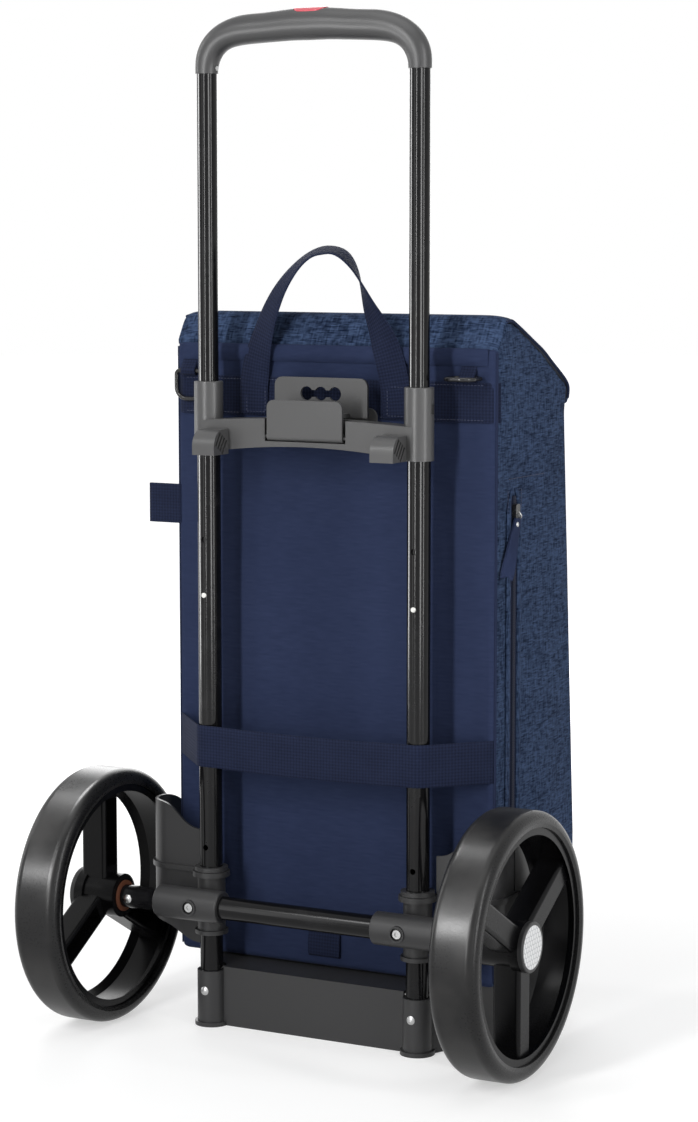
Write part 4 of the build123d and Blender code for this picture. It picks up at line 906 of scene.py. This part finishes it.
PIPING, PIPING_WIDTH, NEAREST = 1, 3.0 * MM, 6
piping_line = [
    (60, 684), (66, 684), (72, 684), (80, 680), (100, 671), (120, 661.5), (140, 652), (160, 641),
    (180, 630), (196, 621.5), (203, 616), (204.5, 610), (204, 603), (203, 597),
]
whole = baked(lid_flap)
for sign in (-1, 1):
    rim = [v.co.copy() for v in whole.verts if sign * v.co.x > LID_HALF - 3 * MM]
    path = [Vector((sign * LID_HALF, y * MM, z * MM)) for y, z in piping_line]
    path = [point - Vector((0, 0, droop(point))) for point in path]
    nearest = [sorted(rim, key=lambda q: (q - point).length)[:NEAREST] for point in path]
    path = [sum(close, Vector()) / NEAREST for close in nearest]
    cord = nurbs_mesh(path, 10, PIPING_WIDTH, 3)
    before = set(whole.faces)
    whole.from_mesh(cord)
    for face in set(whole.faces) - before:
        face.material_index = PIPING
        face.smooth = True
    bpy.data.meshes.remove(cord)
lid_flap.modifiers.clear()
whole.to_mesh(lid_flap.data)
whole.free()
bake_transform(lid_flap)
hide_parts("lid", "lid_strip")
print("lid with piping", len(lid_flap.data.polygons), "faces")

# %% [markdown]
# Webbing is a flat woven strip, made here as it comes off the roll: a flat grid with its map in metres,
# whose rows of points are laid along a line. At each place a direction says where the flat side faces.
# Solidify gives the thickness. The same function makes the back band, the hem, the strap round the posts,
# the carry handle, the tabs, the zip's tape, the pocket's lips and the puller.


# %% Webbing helper
def evenly(points, count):
    """Points at equal distances along a line of points."""
    runs = [0.0]
    for first, second in zip(points, points[1:]):
        runs.append(runs[-1] + (Vector(second) - Vector(first)).length)
    found, index = [], 0
    for step in range(count):
        target = runs[-1] * step / (count - 1)
        while index < len(runs) - 2 and runs[index + 1] < target:
            index += 1
        span = max(runs[index + 1] - runs[index], 1e-9)
        found.append(Vector(points[index]).lerp(Vector(points[index + 1]), (target - runs[index]) / span))
    return found


def strip(name, points, width, facing, step=6 * MM, thick=1.5 * MM, finish="navy_webbing", bow=0.0):
    """A strip of webbing along a line. facing(share, tangent) is the direction its flat side looks in."""
    length = sum((Vector(b) - Vector(a)).length for a, b in zip(points, points[1:]))
    count = max(3, round(length / step) + 1)
    places = evenly(points, count)
    bm = bmesh.new()
    bmesh.ops.create_grid(bm, x_segments=count - 1, y_segments=4, size=0.5)
    map_cloth(bm, lambda p, normal: ((p.x + 0.5) * length, p.y * width))
    for vertex in bm.verts:
        index = round((vertex.co.x + 0.5) * (count - 1))
        side = vertex.co.y
        before, after = places[max(index - 1, 0)], places[min(index + 1, count - 1)]
        tangent = (after - before).normalized()
        outward = facing(index / (count - 1), tangent)
        across = outward.cross(tangent).normalized()
        outward = tangent.cross(across).normalized()
        crown = bow * (1 - 4 * side * side)
        vertex.co = places[index] + across * (side * width) + outward * crown
    bmesh.ops.recalc_face_normals(bm, faces=bm.faces[:])
    made = piece_from(bm, name, finishes[finish])
    modify(made, "SOLIDIFY", thickness=thick, offset=0)
    modify(made, "BEVEL", width=thick * 0.3, segments=2, limit_method="ANGLE")
    return made


def looking(direction):
    """A facing for strips that look one way all along."""
    fixed = Vector(direction)
    return lambda share, tangent: fixed


def square_to(axis):
    """A facing for strips that bend while their width keeps along one axis."""
    fixed = Vector(axis)
    return lambda share, tangent: tangent.cross(fixed)


BAND_Z = 606.5 * MM
band_half = [(0, 39.0), (80, 39.0), (152, 39.0), (160, 39.1), (165.5, 40.6), (169.0, 44.2), (170.4, 48.0)]
band_line = [(-x * MM, y * MM, BAND_Z) for x, y in reversed(band_half)]
band_line += [(x * MM, y * MM, BAND_Z) for x, y in band_half[1:]]
back_band = strip("back_band_webbing", spline_points(band_line, 8), 37 * MM, square_to((0, 0, 1)), 4 * MM)
belongs(back_band, "bag", "navy_webbing", "back_band")
print("back band", len(back_band.data.vertices), "points")

# %% [markdown]
# The back panel ends in a soft rolled hem over the foot of the lid. It is the same kind of strip, in the
# plain cloth, with a high crown.

# %% Hem of the back
HEM_Z, HEM_WIDTH, HEM_CROWN = 648 * MM, 16 * MM, 2.6 * MM
HEM_LIFT = Vector((0, -0.6 * MM, 0))
HEM_HALF, HEM_TAPER = 163 * MM, 30 * MM
hem_line = [on_bag((x * MM, 0, HEM_Z), (0, 1, 0)) + HEM_LIFT for x in range(-162, 163, 18)]
back_hem = strip(
    "back_hem_roll", spline_points(hem_line, 4), HEM_WIDTH, looking((0, -1, 0)),
    6 * MM, 1.2 * MM, "navy_fabric", HEM_CROWN,
)
for vertex in back_hem.data.vertices:
    p = vertex.co
    side = (p.z - HEM_Z) / HEM_WIDTH
    flat_end = 1 - min(1.0, (HEM_HALF - abs(p.x)) / HEM_TAPER)
    vertex.co.y += HEM_CROWN * (1 - 4 * side * side) * flat_end ** 2
belongs(back_hem, "bag", "navy_fabric")
print("back hem", len(back_hem.data.vertices), "points")

# %% [markdown]
# A broad strap holds the bag against the rack. It leaves the bag at one back edge, runs round both posts
# and ends at the other edge. It is taut, so its line is nearly straight between the posts, with a round
# bend on each.

# %% Strap round the posts
POST_X, BEND_R = 111 * MM, 12.8 * MM
STRAP_Z, STRAP_WIDTH = 274 * MM, 40 * MM
SLACK_HALF, SLACK_DOWN, SLACK_IN = 98 * MM, 1.8 * MM, 1.2 * MM
strap_end = Vector((167.8 * MM, 42.2 * MM, STRAP_Z))
away = Vector((strap_end.x - POST_X, strap_end.y))
touch = math.atan2(away.y, away.x) - math.acos(BEND_R / away.length)
bend = [touch + (-math.pi / 2 - touch) * share / 8 for share in range(9)]
right_side = [strap_end]
right_side += [Vector((POST_X + BEND_R * math.cos(a), BEND_R * math.sin(a), STRAP_Z)) for a in bend]
left_side = [Vector((-p.x, p.y, p.z)) for p in right_side]
strap_line = left_side + right_side[::-1]
rack_strap = strip("rack_strap_webbing", strap_line, STRAP_WIDTH, square_to((0, 0, 1)), 3.5 * MM, 1.6 * MM)
for vertex in rack_strap.data.vertices:
    p = vertex.co
    span = max(0.0, 1 - (p.x / SLACK_HALF) ** 2)
    vertex.co.z -= SLACK_DOWN * span
    vertex.co.y += SLACK_IN * span
belongs(rack_strap, "bag", "navy_webbing", "rack_strap")
print("rack strap", len(rack_strap.data.vertices), "points")

# %% [markdown]
# The carry handle is a loop of webbing with both feet sewn flat on the back band. On the way over, the
# strip makes half a turn, so that at the top its flat side faces the palm. A short table gives the turn at
# a few places.

# %% Carry handle
carry_points = [
    (-83, 37, 590), (-83, 37, 612), (-80, 35.4, 631), (-76, 33.8, 648), (-70, 33.6, 668), (-62, 33.5, 690),
    (-50, 34, 712), (-33, 35, 732), (-17, 36, 743), (-3, 36, 745), (12, 36, 743), (26, 35, 728),
    (35, 34, 709), (43, 33.5, 690), (53, 33.6, 672), (62, 33.6, 650), (67, 35.2, 628), (70, 37, 606),
    (71, 37, 590),
]
carry_line = spline_points(in_mm(carry_points), 10)
carry_turns = [
    (0.0, 0), (0.11, 0), (0.21, 25), (0.31, 40), (0.515, 78), (0.70, 135), (0.75, 150), (0.82, 175),
    (0.87, 180), (1.0, 180),
]


def carry_facing(share, tangent):
    """Flat to the back at the feet. On the way over, the strip makes half a turn."""
    turn = math.radians(lookup(carry_turns, share))
    outward = Vector((-tangent.z, 0, tangent.x))
    return Vector((0, -1, 0)) * math.cos(turn) + outward * math.sin(turn)


carry = strip("carry_handle_webbing", carry_line, 30 * MM, carry_facing, 4 * MM, 1.7 * MM, bow=0.6 * MM)
belongs(carry, "bag", "navy_webbing", "carry_handle")
print("carry handle", len(carry.data.vertices), "points")

# %% [markdown]
# Four short tabs are loops of the same webbing. One sticks out of the left seam, one lies low on the back,
# and two hold the D-rings: each of those goes round the ring's bar and is sewn to the back above it.

# %% Tabs
def tab(name, points, width, axis, step=2.5 * MM):
    """A folded tab along points in millimetres, with its width along an axis."""
    made = strip(name, spline_points(in_mm(points), 8), width, square_to(axis), step, 1.5 * MM)
    belongs(made, "bag", "navy_webbing", "webbing_tabs")


side_loop = [
    (-167, 40.9), (-190, 40.4), (-202.2, 40.9), (-203.2, 41.9), (-202.2, 42.9), (-190, 43.2), (-167, 42.8),
]
low_loop = [(39.4, 97), (38.0, 90), (36.9, 80), (36.9, 71), (38.1, 69), (39.4, 72)]
ring_loop = [
    (39.2, 641), (38.2, 636), (34.6, 632.6), (32.4, 629.2), (34.4, 625.6), (37.8, 625.4), (39.0, 629),
    (39.3, 636),
]
tab("side_tab", [(x, y, 499.5) for x, y in side_loop], 38 * MM, (0, 0, 1))
tab("low_tab", [(-8, y, z) for y, z in low_loop], 34 * MM, (1, 0, 0))
for name, x in (("left_ring_tab", -154), ("right_ring_tab", 143)):
    tab(name, [(x, y, z) for y, z in ring_loop], 15.5 * MM, (1, 0, 0), 1.5 * MM)
print("tabs made")

# %% [markdown]
# The right side has a long zipped pocket. Its zip is a tape with a coil down the middle. The coil is a low
# ridge with a notch for every tooth, made by moving the points of a long thin grid.

# %% Zip
ZIP_Y, ZIP_LOW, ZIP_HIGH = 77 * MM, 206 * MM, 519 * MM
TOOTH, COIL_HALF, COIL_HEIGHT, NOTCH = 2.2 * MM, 3.2 * MM, 1.5 * MM, 0.62
TAPE_X, COIL_X, OUTSIDE_X = BAG_HALF + 0.55 * MM, BAG_HALF + 0.9 * MM, 0.24
tape_line = [(TAPE_X, ZIP_Y, ZIP_LOW), (TAPE_X, ZIP_Y, ZIP_HIGH)]
zip_tape = strip("zip_tape_cloth", tape_line, 23 * MM, looking((1, 0, 0)), 8 * MM, 0.8 * MM)
belongs(zip_tape, "bag", "navy_webbing", "zip_tape")

teeth = round((ZIP_HIGH - ZIP_LOW) / TOOTH)
coil_bm = bmesh.new()
bmesh.ops.create_grid(coil_bm, x_segments=teeth * 2, y_segments=6, size=0.5)
for vertex in coil_bm.verts:
    step = round((vertex.co.x + 0.5) * teeth * 2)
    side = vertex.co.y * 2
    height = COIL_HEIGHT * math.sqrt(max(0.0, 1 - side * side)) * (1.0 if step % 2 else NOTCH)
    groove = 0.5 * MM * math.exp(-((side / 0.2) ** 2))
    vertex.co = (
        COIL_X + max(0.0, height - groove),
        ZIP_Y + side * COIL_HALF,
        ZIP_LOW + (ZIP_HIGH - ZIP_LOW) * step / (teeth * 2),
    )
bmesh.ops.recalc_face_normals(coil_bm, faces=coil_bm.faces[:])
zip_coil = piece_from(coil_bm, "zip_coil", finishes["coil"])
modify(zip_coil, "SOLIDIFY", thickness=0.3 * MM)
belongs(zip_coil, "bag", "navy_webbing")
print("zip", teeth, "teeth")

# %% [markdown]
# The pocket's cloth is folded back along both sides of the zip, so only a narrow slit shows the coil. Each
# fold is a puffy strip of the heathered cloth. Below the zip, one narrow raised seam runs down to the
# bottom hem.

# %% Pocket lips and seam
def side_row(start, end, count, lift):
    """Points on the bag's right side, raised a little, from one (y, z) to another."""
    found = []
    for step in range(count):
        y, z = [a + (b - a) * step / (count - 1) for a, b in zip(start, end)]
        found.append(on_bag((OUTSIDE_X, y, z), (-1, 0, 0)) + Vector((lift, 0, 0)))
    return found


def lip(name, y, low, high, width, bow):
    """A puffy strip of the heathered cloth, whose ends close in on the zip's line."""
    line = spline_points(side_row((y, low), (y, high), 7, 0.9 * MM), 8)
    made = strip(name, line, width, looking((1, 0, 0)), 7 * MM, 1.4 * MM, "heather_fabric", bow)
    for vertex in made.data.vertices:
        share = (vertex.co.z - low) / (high - low)
        open_part = max(0.0, min(1.0, share / 0.07, (1 - share) / 0.07))
        middle_y = ZIP_Y + (y - ZIP_Y) * (0.3 + 0.7 * math.sin(open_part * math.pi / 2))
        vertex.co.y = middle_y + (vertex.co.y - y) * (0.35 + 0.65 * open_part)
        vertex.co.x -= 0.8 * MM * (1 - open_part)
    belongs(made, "bag", "heather_fabric")


lip("pocket_lip_rear", ZIP_Y - 11.6 * MM, 199 * MM, 526 * MM, 8.5 * MM, 1.0 * MM)
lip("pocket_lip_front", ZIP_Y + 11.6 * MM, 199 * MM, 526 * MM, 8.5 * MM, 1.4 * MM)
lip("pocket_seam", ZIP_Y, 66 * MM, 204 * MM, 4.5 * MM, 0.8 * MM)
print("pocket lips made")

# %% [markdown]
# The puller hangs from the slider on a small wire ring and leans towards the back. It is a doubled strip of
# webbing, a little splayed at its end.

# %% Puller
puller_points = [
    (173.6, 80.0, 499.5), (174.0, 73.0, 487.5), (175.8, 61.0, 468), (176.8, 48.6, 447), (177.3, 47.8, 445.6),
    (178.0, 49.0, 447.2), (177.0, 61.4, 468), (175.0, 73.4, 487.5), (174.4, 80.3, 499.5),
]
puller_line = spline_points(in_mm(puller_points), 8)


def puller_facing(share, tangent):
    """Flat on the bag at the slider, turning towards the back of the trolley further down."""
    down = 1 - abs(2 * share - 1)
    sign = 1 if share < 0.5 else -1
    return Vector((sign, 0, 0)).lerp(Vector((0, -sign, 0)), 0.62 * down)


zip_pull = strip("zip_puller_webbing", puller_line, 12 * MM, puller_facing, 2.0 * MM, 0.8 * MM, "navy_fabric")
belongs(zip_pull, "zip", "navy_webbing", "zip_puller")


def turned(name, profile, centre, axis, finish):
    """A small round fitting: a profile of (radius, height) points spun once round an axis."""
    bm = bmesh.new()
    across = axis.orthogonal().normalized()
    rail = [bm.verts.new(centre + across * radius * MM + axis * height * MM) for radius, height in profile]
    edges = [bm.edges.new(pair) for pair in zip(rail, rail[1:])]
    bmesh.ops.spin(bm, geom=rail + edges, cent=centre, axis=axis, angle=math.tau, steps=20, use_merge=True)
    bmesh.ops.remove_doubles(bm, verts=bm.verts[:], dist=1e-6)
    bmesh.ops.recalc_face_normals(bm, faces=bm.faces[:])
    made = piece_from(bm, name, finishes[finish])
    belongs(made, "zip", finish)


turn = [math.tau * step / 8 for step in range(9)]
ring_profile = [(3.4 + 0.7 * math.cos(a), 0.7 * math.sin(a)) for a in turn]
ring_axis = Vector((0.2, 0.9, 0.4)).normalized()
turned("puller_ring", ring_profile, Vector((174.4, 79.6, 501.0)) * MM, ring_axis, "steel")
dome = [(0.0, 1.0), (1.2, 0.9), (2.1, 0.55), (2.5, 0.0), (2.5, -0.6), (0.0, -0.6)]
turned("puller_rivet", dome, Vector((175.1, 76.6, 492.5)) * MM, Vector((1, 0, 0)), "steel")
print("puller made")

# %% [markdown]
# Where the plain back meets the heathered sides, a welt makes a fine raised line down each back corner. The
# corner is found by looking at the bag along the diagonal.

# %% Welts
WELT_FOOT, WELT_RISE, WELT_PLACES = 64, 588, 30
welts = bmesh.new()
for sign in (-1, 1):
    corner = []
    for step in range(WELT_PLACES):
        height = (WELT_FOOT + WELT_RISE * step / (WELT_PLACES - 1)) * MM
        hit = on_bag((sign * 0.2, 0.012, height), (-sign, 1, 0))
        corner.append(hit + Vector((sign * 0.3 * MM, -0.3 * MM, 0)))
    cord = nurbs_mesh(corner, 10, 2.4 * MM, 2)
    welts.from_mesh(cord)
    bpy.data.meshes.remove(cord)
corner_welts = piece_from(welts, "corner_welts", finishes["navy_webbing"])
belongs(corner_welts, "bag", "navy_webbing")
print("welts", len(corner_welts.data.polygons), "faces")

# %% [markdown]
# A stitch is a tiny six-sided pin that lies along the seam, and a row of them follows a line on the
# surface. The band's two edges, the top seam, the feet of the carry handle, the pocket and the lid's hem
# get rows. The bag's rows ride on the bag, and the lid's on the lid.


# %% Stitches
def sew(bm, points, pitch=3.4 * MM, length=2.3 * MM, thick=0.7 * MM):
    """Adds a row of stitches along a line of points."""
    total = sum((b - a).length for a, b in zip(points, points[1:]))
    places = evenly(points, max(2, round(total / pitch)) * 2 + 1)
    for before, place, after in zip(places[0::2], places[1::2], places[2::2]):
        turn = (after - before).to_track_quat("Z", "Y").to_matrix().to_4x4()
        bmesh.ops.create_cone(
            bm, cap_ends=True, segments=6, radius1=thick / 2, radius2=thick / 2, depth=length,
            matrix=Matrix.Translation(place) @ turn,
        )


THREAD_LIFT, SEAM_PLACES = 0.2 * MM, 25


def along(start, end):
    """Places from one pair of millimetres to another, in metres."""
    shares = [step / (SEAM_PLACES - 1) for step in range(SEAM_PLACES)]
    return [[(a + (b - a) * share) * MM for a, b in zip(start, end)] for share in shares]


def back_row(start, end, y=None):
    """Points of a seam across the bag's back, on its skin or at a given depth."""
    found = []
    for x, z in along(start, end):
        depth = on_bag((x, 0, z), (0, 1, 0)).y if y is None else y * MM
        found.append(Vector((x, depth - THREAD_LIFT, z)))
    return found


seams = bmesh.new()
for z in (590.5, 622.5):
    for low, high in ((-158, -51), (51, 158)):
        sew(seams, back_row((low, z), (high, z), 38.15))
sew(seams, back_row((-160, 652.5), (160, 652.5)))
for x in (-80, 70):
    corners_of_box = [(x - 10, 592), (x + 10, 592), (x + 10, 619), (x - 10, 619), (x - 10, 592)]
    for first, second in zip(corners_of_box, corners_of_box[1:]):
        sew(seams, back_row(first, second, 36.05))
for y in (ZIP_Y - 14.6 * MM, ZIP_Y + 14.6 * MM):
    sew(seams, side_row((y, 200 * MM), (y, 525 * MM), 13, 1.7 * MM))
sew(seams, side_row((66 * MM, 535 * MM), (144 * MM, 535 * MM), 13, THREAD_LIFT))
bag_stitches = piece_from(seams, "bag_stitches", finishes["thread"])
belongs(bag_stitches, "bag", "navy_webbing")

lid_skin = BVHTree.FromObject(lid_flap, bpy.context.evaluated_depsgraph_get())


def lid_row(start, end):
    """Points of a seam on the lid's slope."""
    lift, down = Vector((0, 0, THREAD_LIFT)), Vector((0, 0, -1))
    return [lid_skin.ray_cast(Vector((x, y, 0.8)), down)[0] + lift for x, y in along(start, end)]


hems = bmesh.new()
for x in (-162, 162):
    sew(hems, lid_row((x, 78), (x, 202)))
sew(hems, lid_row((-158, 201), (158, 201)))
lid_stitches = piece_from(hems, "lid_stitches", finishes["thread"])
belongs(lid_stitches, "lid", "navy_webbing")
print("stitches", len(bag_stitches.data.polygons) + len(lid_stitches.data.polygons), "faces")
